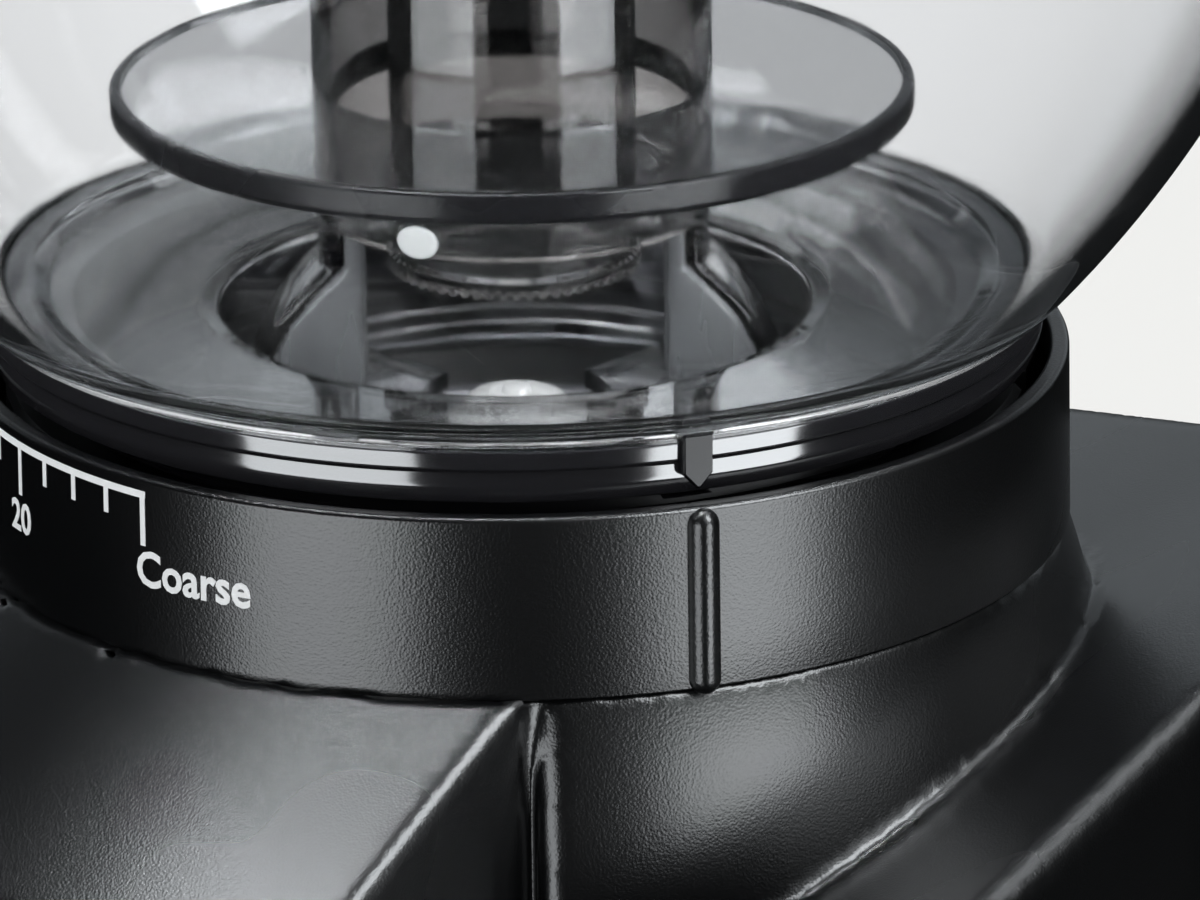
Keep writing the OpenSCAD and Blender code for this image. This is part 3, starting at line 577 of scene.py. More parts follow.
def set_world():
    """White surroundings, seen dark in gloss and through plastic but for a pale backdrop."""
    world = bpy.data.worlds.new("studio_world")
    world.use_nodes = True
    world.cycles.sampling_method = "NONE"
    bpy.context.scene.world = world
    tree = world.node_tree
    nodes = tree.nodes

    def ramp(value, low, high, out_low, out_high):
        made = nodes.new("ShaderNodeMapRange")
        made.interpolation_type = "SMOOTHSTEP"
        for socket, number in zip(list(made.inputs)[1:5], (low, high, out_low, out_high)):
            socket.default_value = number
        tree.links.new(value, made.inputs["Value"])
        return made.outputs["Result"]

    def maths(kind, first, second):
        made = nodes.new("ShaderNodeMath")
        made.operation = kind
        for socket, value in zip(made.inputs, (first, second)):
            if isinstance(value, float):
                socket.default_value = value
            else:
                tree.links.new(value, socket)
        return made.outputs[0]

    white = nodes["Background"]
    white.inputs["Color"].default_value = (1.0, 1.0, 0.99, 1)
    direction = nodes.new("ShaderNodeTexCoord").outputs["Generated"]
    facing = nodes.new("ShaderNodeVectorMath")
    facing.operation = "DOT_PRODUCT"
    facing.inputs[1].default_value = tuple(-radial(VIEW_ANGLE))
    tree.links.new(direction, facing.inputs[0])
    away = facing.outputs["Value"]
    split = nodes.new("ShaderNodeSeparateXYZ")
    tree.links.new(direction, split.inputs[0])
    height = split.outputs["Z"]

    gloss = nodes.new("ShaderNodeBackground")
    gloss.inputs["Color"].default_value = (0.86, 0.94, 1.0, 1)
    profile = maths("MULTIPLY", ramp(height, -0.03, 0.12, 0, 0.72), ramp(height, 0.12, 0.3, 1, 0.34))
    backdrop = maths("MULTIPLY", ramp(away, 0.3, 0.8, 0, 1), profile)
    tree.links.new(maths("ADD", backdrop, 0.008), gloss.inputs["Strength"])

    through = nodes.new("ShaderNodeBackground")
    through.inputs["Color"].default_value = (0.97, 0.985, 1.0, 1)
    tree.links.new(ramp(maths("ABSOLUTE", away, 0.0), 0.5, 0.8, 0.03, 0.97), through.inputs["Strength"])

    path = nodes.new("ShaderNodeLightPath").outputs
    direct = maths("LESS_THAN", path["Diffuse Depth"], 0.5)
    passed = maths("GREATER_THAN", path["Transmission Depth"], 0.5)
    mix = nodes.new("ShaderNodeMixShader")
    tree.links.new(maths("MULTIPLY", passed, direct), mix.inputs[0])
    tree.links.new(white.outputs[0], mix.inputs[1])
    tree.links.new(through.outputs[0], mix.inputs[2])
    last = nodes.new("ShaderNodeMixShader")
    tree.links.new(maths("GREATER_THAN", path["Glossy Depth"], 0.5), last.inputs[0])
    tree.links.new(mix.outputs[0], last.inputs[1])
    tree.links.new(gloss.outputs[0], last.inputs[2])
    tree.links.new(last.outputs[0], nodes["World Output"].inputs["Surface"])


def set_studio():
    set_floor()
    set_world()
    studio_panel("right_low", 44, -6, (32, 40), 8.5)
    studio_panel("right_high", 52, 42, (32, 28), 17.0)
    studio_panel("left_low", -40, -6, (36, 40), 6.0)
    studio_panel("overhead", -112, 79, (34, 34), 17.0)
    studio_panel("over_right", 130, 60, (40, 30), 3.0)
    bpy.context.scene.view_settings.view_transform = "Standard"


# ---------------------------------------------------------------- head and collar

LEDGE_Z = -COLLAR_H
HOOD_TOP = -15.8
HOOD_FALL = 0.68
HOOD_IN = COLLAR_R + 0.45
HOOD_SIDE_Y = 41.5
HOOD_SIDE_ANGLE = math.radians(32)
DECK_Z = -53.6
DECK_ANGLE = math.radians(27.5)
SHOULDER = (math.cos(math.radians(30.5)), math.sin(math.radians(30.5)))
NOTCH_ANGLE = 100.7
HEAD_WALL = 2.4


def plan_distance(x, y, inset=0.0):
    """Distance from the head's outline: a half circle in front, flat facets behind."""
    ax = np.abs(x)
    round_front = np.hypot(x, y) - HALF_W
    side = ax - HALF_W
    facet = ax * math.cos(FACET_ANGLE) + y * math.sin(FACET_ANGLE) - FACET_D
    back = round_cut(round_cut(side, facet, 6.0), y - REAR_D, 5.0)
    return np.where(y < 0, round_front, back) + inset


def head_top(x, y, z, inset=0.0):
    """Distance from the head's upper form: sloping deck, drum and front hood."""
    r = np.hypot(x, y)
    deck = (z - DECK_Z) * math.cos(DECK_ANGLE) - y * math.sin(DECK_ANGLE) + inset
    slant = (r - COLLAR_R - 0.35) * SHOULDER[0] + (z - LEDGE_Z) * SHOULDER[1] + inset
    wall = round_cut(r - DRUM_R + inset, slant, 7.0)
    end = radial(NOTCH_ANGLE + 90)
    notch = -(np.abs(x) * end[0] + y * end[1]) + inset
    drum = round_cut(wall, notch, 2.2)
    core = r - COLLAR_R + 0.2 + inset
    drum = np.maximum(np.minimum(drum, core), z - LEDGE_Z + inset)
    cone = (z - HOOD_TOP + HOOD_FALL * (r - HOOD_IN)) * math.cos(math.atan(HOOD_FALL)) + inset
    side = (y - HOOD_SIDE_Y + np.abs(x) * math.tan(HOOD_SIDE_ANGLE)) * math.cos(HOOD_SIDE_ANGLE) + inset
    hood = np.maximum(round_cut(cone, side, 1.3), HOOD_IN - r - inset)
    return round_join(round_join(deck, drum, 1.2), hood, 0.8)


def head_field(x, y, z):
    outer = round_cut(plan_distance(x, y), head_top(x, y, z), 3.0)
    outer = round_cut(outer, HEAD_BOTTOM - z, 0.8)
    hollow = np.maximum(plan_distance(x, y, HEAD_WALL), head_top(x, y, z, HEAD_WALL + 0.4))
    bore = np.hypot(x, y) - 48.5
    return np.maximum(np.maximum(outer, -hollow), -bore)


def make_head():
    low, high = (-80.3, -80.3, HEAD_BOTTOM - 2.3), (80.3, REAR_D + 2.3, -13)
    verts, faces = surface_net(head_field, low, high, 1.15)
    return make_piece("head_shell", verts, faces, HOUSING, "machine", ["head_housing"], "housing_black")


def make_collar():
    outer = rounded([(50.2, LEDGE_Z, 0.1), (COLLAR_R + 0.35, LEDGE_Z, 0.15), (COLLAR_R, 0, 0.55),
                     (50.2, 0, 0.5)], steps=5)
    verts, faces = lathe(outer, 480)
    return make_piece("collar_shell", verts, faces, HOUSING, "machine", ["top_collar"], "housing_black",
                      sharp=50)


def make_bead():
    """Upright half-round bead on the collar, with round ends."""
    half, rise, low, high = 1.5, 1.35, LEDGE_Z - 0.55, -0.15
    levels = [low + half - half * math.cos(t) for t in np.linspace(0, math.pi / 2, 9)]
    levels += [high - half + half * math.sin(t) for t in np.linspace(0, math.pi / 2, 9)]
    verts, faces = [], []
    around = 17
    for z in levels:
        beyond = max(low + half - z, z - high + half, 0)
        share = math.sqrt(max(1 - (beyond / half) ** 2, 0.0004))
        wall = COLLAR_R + 0.35 * min(1, max(0, -z / COLLAR_H))
        for k in range(around):
            t = math.pi * k / (around - 1)
            across = -half * share * math.cos(t)
            out = wall - 0.35 + (0.35 + rise * share) * math.sin(t)
            verts.append(radial(BEAD_ANGLE + math.degrees(across / COLLAR_R), out) + [0, 0, z])
    for i in range(len(levels) - 1):
        for k in range(around):
            m = (k + 1) % around
            a, b = i * around, (i + 1) * around
            faces.append((a + k, a + m, b + m, b + k))
    last = (len(levels) - 1) * around
    faces += [tuple(range(around))[::-1], tuple(range(last, last + around))]
    return make_piece("collar_bead", verts, faces, HOUSING, "machine", sharp=60)


# ---------------------------------------------------------------- printed dial

DIAL_STEP = 5.0
DIAL_START = -60.0
DIAL_COUNT = 24
INK_RISE = 0.05


def wrap_on_collar(verts, centre_angle, centre_z):
    """Bends flat points (right, up, out) onto the collar; right follows increasing angle."""
    out = []
    for right, up, rise in verts:
        z = centre_z + up
        r = COLLAR_R + 0.35 * min(1, -z / COLLAR_H) + rise
        a = centre_angle + math.degrees(right / COLLAR_R)
        out.append(radial(a, r) + [0, 0, z])
    return out


def bar(x0, x1, z0, z1, steps=1):
    """Flat closed bar in the dial's own plane, split along its length."""
    xs = np.linspace(x0, x1, steps + 1)
    verts, faces = [], []
    for x in xs:
        verts += [(x, z0, -0.1), (x, z1, -0.1), (x, z1, INK_RISE), (x, z0, INK_RISE)]
    for k in range(steps):
        a, b = 4 * k, 4 * k + 4
        faces += [(a + n, a + (n + 1) % 4, b + (n + 1) % 4, b + n) for n in range(4)]
    faces += [(3, 2, 1, 0), tuple(4 * steps + n for n in range(4))]
    return verts, faces


def letters(text, height, width_scale=1.0):
    """Solid mesh of a short printed word, centred."""
    curve = bpy.data.curves.new("print", "FONT")
    curve.body = text
    curve.size = 1.0
    curve.extrude = (INK_RISE + 0.1) / 2 / height * 0.72
    curve.offset = 0.022
    curve.resolution_u = 3
    obj = bpy.data.objects.new("print", curve)
    bpy.context.scene.collection.objects.link(obj)
    bpy.context.view_layer.update()
    mesh = bpy.data.meshes.new_from_object(obj.evaluated_get(bpy.context.evaluated_depsgraph_get()))
    points = np.array([v.co for v in mesh.vertices])
    faces = [tuple(p.vertices) for p in mesh.polygons]
    bpy.data.objects.remove(obj)
    bpy.data.meshes.remove(mesh)
    points[:, 0] -= (points[:, 0].max() + points[:, 0].min()) / 2
    cap = 0.72
    points[:, :2] *= height / cap
    points[:, 0] *= width_scale
    points[:, 1] -= height / 2
    points[:, 2] = np.where(points[:, 2] > 0, INK_RISE, -0.1)
    return points, faces


def make_dial():
    verts, faces = [], []

    def add(part, angle, z):
        start = len(verts)
        verts.extend(wrap_on_collar(part[0], angle, z))
        faces.extend([tuple(start + i for i in f) for f in part[1]])

    arc = math.radians(DIAL_STEP * DIAL_COUNT) * COLLAR_R
    middle = DIAL_START + DIAL_STEP * DIAL_COUNT / 2
    line = 0.66
    add(bar(-arc / 2 - line / 2, arc / 2 + line / 2, -line / 2, line / 2, 96), middle, -1.45)
    for mark in range(DIAL_COUNT + 1):
        numbered = mark % 5 == 0
        low = -6.2 if numbered or mark == DIAL_COUNT else -4.1
        angle = DIAL_START + DIAL_STEP * mark
        add(bar(-0.28, 0.28, low + 1.2, 0), angle, -1.2)
        if numbered and mark:
            add(letters(str(mark), 2.9, 0.95), angle, -8.2)
    add(letters("Coarse", 3.3, 0.92), DIAL_START + DIAL_STEP * DIAL_COUNT + 5.9, -8.2)
    add(letters("Fine", 3.3, 0.92), DIAL_START - 4.1, -8.2)
    return make_piece("dial_print", verts, faces, INK, "machine", sharp=40)


# ---------------------------------------------------------------- hopper

BOWL_WALL = 2.2
BOWL_CURVE = 105.6
BOWL_START = (52.1, 7.05)
TOWER_ANGLE = BEAD_ANGLE - 17.9 - 90
TOWER_BASE = 12.7
TOWER_TOP = 84.0
GATE_Z = -8.0
SHELF_Z = -10.4
LEG_HALF = 6.2
LEG_REACH = 27.4


def bowl_arc(offset, steps=40):
    """Curved side of the bowl, from its foot to its upright rim."""
    centre_r = BOWL_R - BOWL_CURVE
    start = math.asin((BOWL_START[0] - centre_r) / BOWL_CURVE)
    centre_z = BOWL_START[1] + BOWL_CURVE * math.cos(start)
    reach = BOWL_CURVE - offset
    angles = np.linspace(start, math.pi / 2, steps)
    return [(centre_r + reach * math.sin(a), centre_z - reach * math.cos(a)) for a in angles]


def make_bowl():
    outer = [(48.7, 5.5), (50.3, 5.5)] + bowl_arc(0)
    rim = rounded([(BOWL_R, BOWL_TOP - 3, 0), (BOWL_R, BOWL_TOP, 0.9), (BOWL_R - BOWL_WALL, BOWL_TOP, 0.9),
                   (BOWL_R - BOWL_WALL, BOWL_TOP - 3, 0)], steps=5)
    inner = bowl_arc(BOWL_WALL)[::-1] + [(48.7, 7.4)]
    verts, faces = lathe(outer + rim + inner, 288)
    return make_piece("bowl_shell", verts, faces, CLEAR, "hopper", ["hopper_bowl"], "clear_smoke")


def make_neck():
    outline = rounded([(42, -8), (44, -8), (44, 0.4), (49.1, 0.4, 0.35), (49.55, 2, 2), (49.35, 3.3, 0.15),
                       (49.9, 3.75, 0.3), (49.95, 5.4, 0.3), (46.2, 5.4), (45, 3.8), (42, 3.4)], 0.25)
    verts, faces = lathe(outline, 288)
    return make_piece("neck_ring", verts, faces, RING, "hopper", ["hopper_neck"], "dark_smoke", sharp=50)


def make_pointer():
    """Shield-shaped index on the neck ring."""
    half, top, waist, tip = 1.38, 6.95, 2.6, 1.1
    outline = rounded([(-half, top, 0.25), (-half, waist, 0.3), (0, tip, 0.25), (half, waist, 0.3),
                       (half, top, 0.25)])
    front = [(x, z, 0.75) for x, z in outline]
    edge = [(x * 0.86, (z - 4.5) * 0.9 + 4.5, 1.1) for x, z in outline]
    back = [(x, z, -0.5) for x, z in outline]
    n = len(outline)
    verts = []
    for x, z, rise in back + front + edge:
        verts.append(radial(BEAD_ANGLE + math.degrees(x / 50.2), 49.9 + rise) + [0, 0, z])
    faces = [tuple(range(n))[::-1], tuple(range(2 * n, 3 * n))]
    for k in range(n):
        m = (k + 1) % n
        faces += [(k, m, n + m, n + k), (n + k, n + m, 2 * n + m, 2 * n + k)]
    return make_piece("neck_pointer", verts, faces, RIM, "hopper", (), "dark_smoke", sharp=40)


def make_floor():
    throat = 28.0
    plate = rounded([(throat, SHELF_Z), (throat + 1.8, SHELF_Z), (throat + 1.8, 2, 0.6), (30, 2.6, 1),
                     (44.4, 4.3, 1.2), (46.3, 5.5, 1.2), (48.4, 5.5), (48.4, 7.2), (46, 7.2, 1),
                     (44, 6, 1.2), (30, 4.2, 2), (throat, 3.6, 0.6)], 0.3)
    verts, faces = lathe(plate, 240)
    make_piece("floor_plate", verts, faces, DARK_CLEAR, "hopper", ["hopper_floor"], "dark_smoke", sharp=50)
    verts, faces = [], []
    for turn in (0, 180):
        add_sector(verts, faces, 9.0, throat + 0.9, 44, SHELF_Z, SHELF_Z + 1.7, TOWER_ANGLE + turn)
    make_piece("throat_shelves", verts, faces, DARK_CLEAR, "hopper", (), "dark_smoke", sharp=40)


def add_sector(verts, faces, inner, outer, half, low, high, centre):
    """Closed flat sector of a ring."""
    steps = 32
    start = len(verts)
    for k in range(steps + 1):
        a = centre - half + 2 * half * k / steps
        for r, z in ((inner, low), (outer, low), (outer, high), (inner, high)):
            verts.append(radial(a, r) + [0, 0, z])
    for k in range(steps):
        a, b = start + 4 * k, start + 4 * k + 4
        faces += [(a + n, a + (n + 1) % 4, b + (n + 1) % 4, b + n) for n in range(4)]
    faces += [tuple(start + n for n in (3, 2, 1, 0)), tuple(start + 4 * steps + n for n in range(4))]


def skirt_radius(z):
    """Outer radius of the flared skirt that the legs are cut from."""
    heights = (GATE_Z, -5.7, -3, 2.7, 5.3, 8.3)
    return np.interp(z, heights, (LEG_REACH, LEG_REACH, 26, 23.3, 21.3, COLUMN_R - 0.3))


def leg_field(x, y, z):
    """One pair of legs, cut from a flared skirt: each a rib that is hollow towards the axis."""
    r = np.hypot(x, y)
    skirt = (r - skirt_radius(z)) * 0.85
    inner = 14.2 - np.abs(y)
    ends = slab(z, GATE_Z + 1.85, TOWER_BASE + 0.6)
    body = round_cut(round_cut(skirt, np.abs(x) - LEG_HALF, 0.9), inner, 0.6)
    hollow = np.maximum(np.maximum(skirt + 1.4, np.abs(x) - LEG_HALF + 1.5), z - TOWER_BASE + 2)
    return round_cut(np.maximum(body, ends), -hollow, 0.4), skirt + 1.3


def leg_face(x, y, z):
    leg, behind_skin = leg_field(x, y, z)
    return np.maximum(leg, -behind_skin)


def leg_sides(x, y, z):
    leg, behind_skin = leg_field(x, y, z)
    return np.maximum(leg, behind_skin)


def make_tower():
    column = rounded([(COLUMN_R - 1.8, TOWER_BASE), (COLUMN_R, TOWER_BASE, 0.5),
                      (COLUMN_R - 0.1, DISC_HIGH, 0), (COLUMN_R - 0.5, TOWER_TOP),
                      (COLUMN_R - 2.1, TOWER_TOP)], 0.3)
    verts, faces = lathe(column, 192)
    make_piece("tower_column", verts, faces, TOWER, "tower", ["guard_tower"], "dark_smoke", sharp=50)
    turn = math.radians(TOWER_ANGLE)
    c, s = math.cos(turn), math.sin(turn)
    for name, field, material in (("leg_faces", leg_face, TOWER), ("leg_sides", leg_sides, LEGS)):
        verts, faces = surface_net(field, (-7.3, -28.4, GATE_Z + 1.2), (7.3, 28.4, TOWER_BASE + 1.4), 0.5)
        x, y, z = verts.T
        verts = np.stack([x * c - y * s, x * s + y * c, z], -1)
        make_piece(name, verts, faces, material, "tower", (), "dark_smoke")
    rim_in = DISC_R - 1.0
    rim = rounded([(rim_in, DISC_LOW), (DISC_R - 0.5, DISC_LOW, 0.4), (DISC_R, DISC_LOW + 0.6, 0.4),
                   (DISC_R, DISC_HIGH, 0.6), (rim_in, DISC_HIGH)], 0.05)
    verts, faces = lathe(rim, 288)
    make_piece("disc_rim", verts, faces, RIM, "tower", (), "clear_smoke", sharp=50)
    disc = rounded([(COLUMN_R - 0.7, DISC_LOW), (rim_in - 0.02, DISC_LOW), (rim_in - 0.02, DISC_HIGH),
                    (COLUMN_R - 0.7, DISC_HIGH)], 0.1)
    verts, faces = lathe(disc, 288)
    make_piece("disc_plate", verts, faces, DISC, "tower", ["guard_disc"], "clear_smoke", sharp=50)
    gate_ring = [(LEG_REACH - 2, GATE_Z), (LEG_REACH, GATE_Z), (LEG_REACH, GATE_Z + 1.8),
                 (LEG_REACH - 2, GATE_Z + 1.8)]
    verts, faces = lathe(rounded(gate_ring, 0.2), 144)
    verts, faces = list(verts), [tuple(f) for f in faces]
    for turn in (0, 180):
        add_sector(verts, faces, 9.0, LEG_REACH - 1, 43, GATE_Z + 0.02, GATE_Z + 1.78, TOWER_ANGLE + turn)
    make_piece("gate_sectors", verts, faces, DARK_CLEAR, "tower", ["gate_plate"], "dark_smoke", sharp=40)


def make_dot():
    """Small pearl dot moulded on the column below the disc."""
    centre, height, size, flatness, around = VIEW_ANGLE - 27.9, 14.25, 2.05, 0.74, 32
    verts, faces = [], []
    for rise, share in ((-0.2, 1.0), (0.25, 1.0), (0.42, 0.82)):
        for k in range(around):
            t = 2 * math.pi * k / around
            a = centre + math.degrees(math.cos(t) * size * share / COLUMN_R)
            z = height + math.sin(t) * size * share * flatness
            verts.append(radial(a, COLUMN_R + rise) + [0, 0, z])
    for low in (0, around):
        high = low + around
        for k in range(around):
            m = (k + 1) % around
            faces.append((low + k, low + m, high + m, high + k))
    faces += [tuple(range(around))[::-1], tuple(range(2 * around, 3 * around))]
    make_piece("tower_dot", verts, faces, PEARL, "tower", (), "trim_black", sharp=40)


def make_stem():
    """Inner tube of the lock, with a finely toothed lower edge."""
    segments, teeth = 360, 60
    outline = np.array(rounded([(10.4, 7), (12, 7, 0.2), (12, 8.6, 0.2), (11.5, 9, 0.2), (11.5, TOWER_TOP),
                                (10.4, TOWER_TOP)], 0.2))
    verts, faces = lathe(outline, segments)
    verts = verts.reshape(segments, len(outline), 3)
    for i in range(segments):
        if (i * teeth // segments * 2 + (i * teeth * 2 // segments) % 2) % 2 == 0 and (i % 6) < 3:
            low = verts[i, :, 2] < 7.6
            verts[i, low, 2] += 0.45
    return make_piece("stem_tube", verts.reshape(-1, 3), faces, TOWER, "tower", ["lock_stem"], "dark_smoke",
                      sharp=40)


def make_nut():
    """Cap nut on the burr: washer, slim neck, domed cap and a small stud."""
    cap = -7.6
    dome = [(4.78 * math.cos(t), cap + 0.7 + 1.1 * math.sin(t)) for t in np.linspace(0.1, 1.2, 8)]
    washer = [(0, -12.3), (7, -12.3), (7, -11.5), (3.0, -11.4)]
    neck = [(2.6, -11.0), (2.5, cap - 0.5), (2.8, cap - 0.1), (4.6, cap), (4.8, cap + 0.3)]
    stud = [(1.5, cap + 1.6), (1.3, cap + 2.1), (1.0, cap + 2.25), (0, cap + 2.25)]
    verts, faces = lathe(washer + neck + dome + stud, 96)
    return make_piece("nut_dome", verts, faces, CHROME, "burr_drive", ["burr_nut"], "nut_chrome", sharp=50)


def make_lock_knob():
    top = TOWER_TOP
    outline = rounded([(0, top - 4), (10.3, top - 4), (10.3, top, 0.2), (21, top, 0.6), (21, top + 9, 1.5),
                       (17.5, top + 9, 0.8), (16.5, top + 3.5, 1), (0, top + 3.5)], 0.3)
    verts, faces = lathe(outline, 144)
    make_piece("lock_dish", verts, faces, TRIM, "tower", ["lock_knob"], "trim_black", sharp=50)
    grip = box_mesh((-16.4, -2.6, top + 3.4), (16.4, 2.6, top + 8.9), 0.9)
    make_piece("lock_grip", *grip, TRIM, "tower", (), "trim_black", sharp=40)


def box_mesh(low, high, radius, steps=4):
    """Block with its upright and upper edges rounded."""
    x0, y0, z0 = low
    x1, y1, z1 = high
    rings = []
    for k in range(steps + 1):
        t = math.pi / 2 * k / steps
        rings.append((z1 - radius + radius * math.sin(t), radius - radius * math.cos(t)))
    rings = [(z0, 0.0)] + rings
    verts, faces = [], []
    for z, inset in rings:
        left, right = x0 + inset, x1 - inset
        front, back = y0 + inset, y1 - inset
        plan = rounded([(left, front), (right, front), (right, back), (left, back)],
                       max(radius - inset, 0.05), steps)
        count = len(plan)
        verts += [(x, y, z) for x, y in plan]
    for level in range(len(rings) - 1):
        for k in range(count):
            m = (k + 1) % count
            a, b = level * count, (level + 1) * count
            faces.append((a + k, a + m, b + m, b + k))
    faces += [tuple(range(count))[::-1], tuple(range((len(rings) - 1) * count, len(rings) * count))]
    return verts, faces


def make_lid():
    top = BOWL_TOP
    outline = [(0, top + 4), (60, top + 2.5), (74, top - 5), (76, top - 5), (76, top + 0.1),
               (BOWL_R, top + 0.1, 0.3), (BOWL_R, top + 2.2, 1.0), (75, top + 4.2, 2), (61, top + 5, 2),
               (0, top + 6.5, 0)]
    verts, faces = lathe(rounded(outline, 0.4), 288)
    make_piece("lid_cover", verts, faces, CLEAR, "hopper_lid", ["lid"], "clear_smoke", sharp=50)
    knob = [(0, top + 6.5, 0), (9, top + 6.5, 0.5), (8, top + 10, 3), (12, top + 12.2, 0.6),
            (15, top + 15.6, 1.0), (13.2, top + 18, 1.4), (4, top + 17.1, 4), (0, top + 17, 0)]
    verts, faces = lathe(rounded(knob, 0.4), 144)
    return make_piece("lid_grip", verts, faces, TRIM, "hopper_lid", ["lid_knob"], "trim_black", sharp=50)


# ---------------------------------------------------------------- column, base and tray

WALL = 2.5
BASE_BOTTOM = 3.0
PLATFORM_TOP = 9.0
HEAD_SEAT = RIM_Z + HEAD_BOTTOM
CORNER_R = 18.0
NOSE_R = 78.0
NOSE_Y = -32.0
TIMER_Z = 78.0
BUTTON_Z = 140.0
SWITCH_Z = 80.0
PANEL_FACE = -45.0


def table(z):
    """Height above the table as a height in the rim frame."""
    return z - RIM_Z


def block_distance(x, y, z, low, high, r=0.0):
    """Distance from a block with rounded edges; heights are above the table."""
    q = [np.maximum(a - v, v - b) + r for v, a, b in zip((x, y, z), low, (high[0], high[1], high[2]))]
    outside = np.sqrt(sum(np.maximum(v, 0) ** 2 for v in q))
    return outside + np.minimum(np.maximum(np.maximum(q[0], q[1]), q[2]), 0) - r


def facets_distance(x, y):
    ax = np.abs(x)
    facet = ax * math.cos(FACET_ANGLE) + y * math.sin(FACET_ANGLE) - FACET_D
    return round_cut(round_cut(ax - HALF_W, facet, 6.0), y - REAR_D, 5.0)


def column_plan(x, y):
    u = np.abs(x) - HALF_W + CORNER_R
    v = -COLUMN_FRONT + CORNER_R - y
    front = np.hypot(np.maximum(u, 0), np.maximum(v, 0)) + np.minimum(np.maximum(u, v), 0) - CORNER_R
    return np.where(y < 0, front, facets_distance(x, y))


def column_field(x, y, z):
    plan = column_plan(x, y)
    body = round_cut(plan, slab(z, BASE_TOP, HEAD_SEAT), 0.7)
    body = np.maximum(body, -(plan + WALL))
    for low, high in (((-38, -60, 56), (38, -30, 154)), ((-24.2, 60, 60), (24.2, 90, 130)),
                      ((-90, -9.2, SWITCH_Z - 12.2), (-60, 9.2, SWITCH_Z + 12.2))):
        body = round_cut(body, -block_distance(x, y, z, low, high), 0.4)
    return body


def base_field(x, y, z):
    plan = np.where(y < 0, round_cut(np.abs(x) - HALF_W, -COLUMN_FRONT - y, 1.2), facets_distance(x, y))
    block = round_cut(plan, slab(z, BASE_BOTTOM, BASE_TOP), 0.8)
    nose = np.hypot(x, y - NOSE_Y) - NOSE_R + 1.5
    nose = np.maximum(round_cut(nose, slab(z, BASE_BOTTOM, PLATFORM_TOP), 0.8), y + COLUMN_FRONT - 2)
    body = np.minimum(block, nose)
    hollow = np.maximum(plan + WALL, z - BASE_TOP + WALL)
    under = np.maximum(np.hypot(x, y - NOSE_Y) - NOSE_R + WALL + 1.5, z - PLATFORM_TOP + WALL)
    under = np.maximum(under, y + COLUMN_FRONT - 6)
    top = block_distance(x, y, z, (-50, -30, BASE_TOP - 5), (50, 30, BASE_TOP + 5))
    gland = np.maximum(np.hypot(x, z - 20) - 7, 60 - y)
    for cut in (hollow, under, top, gland):
        body = np.maximum(body, -cut)
    return body


def tray_field(x, y, z):
    low, back = PLATFORM_TOP + 0.3, -COLUMN_FRONT - 0.5
    nose = np.hypot(x, y - NOSE_Y) - NOSE_R
    outer = round_cut(round_cut(nose, y - back, 2.0), slab(z, low, BASE_TOP), 1.1)
    inner = round_cut(round_cut(nose + WALL, y - back + WALL, 4.0), low + WALL - z, 3.0)
    return round_cut(outer, -inner, 0.7)


def fork_field(x, y, z):
    fork_top = 118.0
    half, bore_y, bore_r = 37, -78, 29
    arms = block_distance(x, y, z, (-half, -88, fork_top - 6), (half, PANEL_FACE - 1, fork_top), 1.4)
    low, high = (-half, PANEL_FACE - 5, fork_top - 10), (half, PANEL_FACE, fork_top + 6)
    plate = block_distance(x, y, z, low, high, 1.2)
    bore = np.hypot(x, y - bore_y) - bore_r
    gap = np.maximum(np.abs(x) - bore_r, y - bore_y)
    body = round_join(arms, plate, 2.0)
    body = np.maximum(body, y - PANEL_FACE)
    return round_cut(body, -np.minimum(bore, gap), 1.2)


def panel_field(x, y, z):
    plate = block_distance(x, y, z, (-50, PANEL_FACE, 44), (50, -COLUMN_FRONT, 163), 0.2)
    u, v = np.abs(x) - 50 + 5, np.abs(z - 103.5) - 59.5 + 5
    corner = np.hypot(np.maximum(u, 0), np.maximum(v, 0)) + np.minimum(np.maximum(u, v), 0) - 5
    body = round_cut(corner, slab(y, PANEL_FACE, -COLUMN_FRONT), 0.9)
    body = np.maximum(body, plate)
    screws = [(side * 44, height, 1.6) for height in (50, 157) for side in (1, -1)]
    for cx, cz, r in [(0, BUTTON_Z, 9.5), (0, TIMER_Z, 4.5)] + screws:
        body = round_cut(body, r - np.hypot(x - cx, z - cz), 0.5)
    return body


def make_solid(name, field, low, high, cell, material, body, nodes, slot):
    """Solid from a distance field whose heights are above the table."""
    verts, faces = surface_net(field, low, high, cell)
    verts[:, 2] -= RIM_Z
    return make_piece(name, verts, faces, material, body, nodes, slot)


def make_lower_machine():
    w = HALF_W + 1.1
    front, rear = NOSE_Y - NOSE_R - 1.1, REAR_D + 1.4
    make_solid("column_shell", column_field, (-w, -COLUMN_FRONT - 1.1, BASE_TOP - 1.2),
               (w, rear, HEAD_SEAT + 1.2), 1.3, HOUSING, "machine", ["column_housing"], "housing_black")
    make_solid("base_shell", base_field, (-w, front, BASE_BOTTOM - 1.2),
               (w, rear, BASE_TOP + 1.2), 1.3, HOUSING, "machine", ["base_housing"], "housing_black")
    make_solid("tray_drawer", tray_field, (-w, front, PLATFORM_TOP - 0.9),
               (w, -COLUMN_FRONT + 0.7, BASE_TOP + 1.2), 1.2, TRIM, "tray", ["grounds_tray"], "trim_black")
    make_solid("fork_arms", fork_field, (-38, -89, 107), (38, PANEL_FACE + 1, 125), 0.9, PANEL,
               "machine", ["portafilter_fork"], "panel_grey")
    make_solid("panel_plate", panel_field, (-51, PANEL_FACE - 0.8, 43), (51, -COLUMN_FRONT + 0.8, 164), 0.9,
               PANEL, "machine", ["front_panel"], "panel_grey")


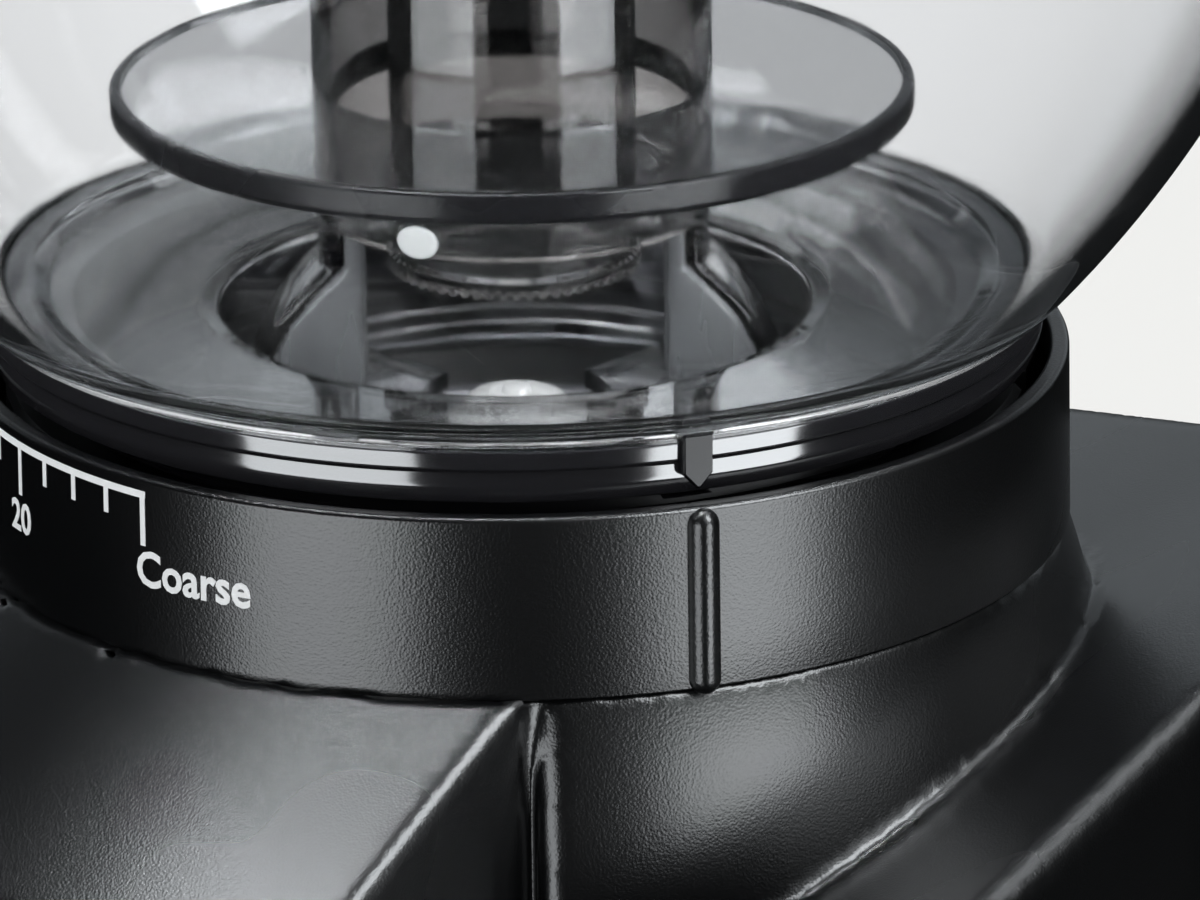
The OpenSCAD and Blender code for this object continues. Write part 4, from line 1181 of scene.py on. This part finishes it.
def turned_forward(outline, z, segments=96, shape=None):
    """Turned part whose axis runs forwards; its outline is (radius, distance ahead of the axis)."""
    verts, faces = lathe(outline, segments)
    if shape is not None:
        verts = shape(verts)
    return np.stack([verts[:, 0], -verts[:, 2], -verts[:, 1] + table(z)], -1), faces


def fluted(verts):
    """Shallow grip flutes round the rim of the timer knob."""
    angle = np.arctan2(verts[:, 0], -verts[:, 1])
    r = np.hypot(verts[:, 0], verts[:, 1])
    depth = 0.35 * np.clip((r - 11.5) / 1.5, 0, 1) * np.clip((verts[:, 2] - 50.9) / 0.5, 0, 1)
    share = (r - depth * (0.5 + 0.5 * np.cos(angle * 36))) / np.maximum(r, 1e-6)
    return verts * np.stack([share, share, np.ones_like(share)], -1)


def make_controls():
    cap = rounded([(0, 47), (3, 47), (3, 45.6), (15, 45.6, 0.6), (15, 50.4, 0.9), (13.9, 50.5, 0.2),
                   (13.1, 59.9, 1.0), (10.5, 59.9, 0.6), (9.8, 59.3, 0.6), (0, 59.3, 0)], 0.3)
    stem = [(0, 35), (3, 35), (3, 45.6)]
    verts, faces = turned_forward(stem + cap[1:], TIMER_Z, 288, fluted)
    make_piece("timer_cap", verts, faces, TRIM, "timer", ["timer_knob"], "trim_black", sharp=50)
    verts, faces = bar(-0.6, 0.6, 3.5, 12.6)
    line = []
    for x, up, rise in verts:
        face = -59.98 if up > 9.8 else -59.4
        line.append((x, face + (0.3 if rise < 0 else -0.02), up + table(TIMER_Z)))
    make_piece("timer_line", line, faces, INK, "timer", sharp=40)
    verts, faces = [], []
    for k in range(11):
        turn = math.radians(-135 + 27 * k)
        c, s = math.cos(turn), math.sin(turn)
        part, quads = bar(-0.45, 0.45, 18.2, 20.6 if k % 5 else 22.0)
        start = len(verts)
        for x, up, rise in part:
            depth = PANEL_FACE + (-0.06 if rise > 0 else 0.2)
            verts.append((x * c + up * s, depth, up * c - x * s + table(TIMER_Z)))
        faces += [tuple(start + i for i in f) for f in quads]
    make_piece("timer_scale", verts, faces, INK, "machine", sharp=40)
    face = rounded([(0, 37.1), (2, 37.1), (2, 40), (11, 40, 0.1), (11, 41.4, 0.2), (9, 41.4), (9, 51, 1.2),
                    (6, 50.4, 4), (0, 50.1, 0)], 0.3)
    verts, faces = turned_forward(face, BUTTON_Z, 144)
    make_piece("button_cap", verts, faces, GLOSS, "button", ["start_button"], "panel_grey", sharp=50)


def build():
    set_camera()
    set_studio()
    dress_cad_nodes()
    make_head()
    make_collar()
    make_bead()
    make_dial()
    make_bowl()
    make_neck()
    make_pointer()
    make_floor()
    make_tower()
    make_dot()
    make_stem()
    make_nut()
    make_lock_knob()
    make_lid()
    make_lower_machine()
    make_controls()


build()
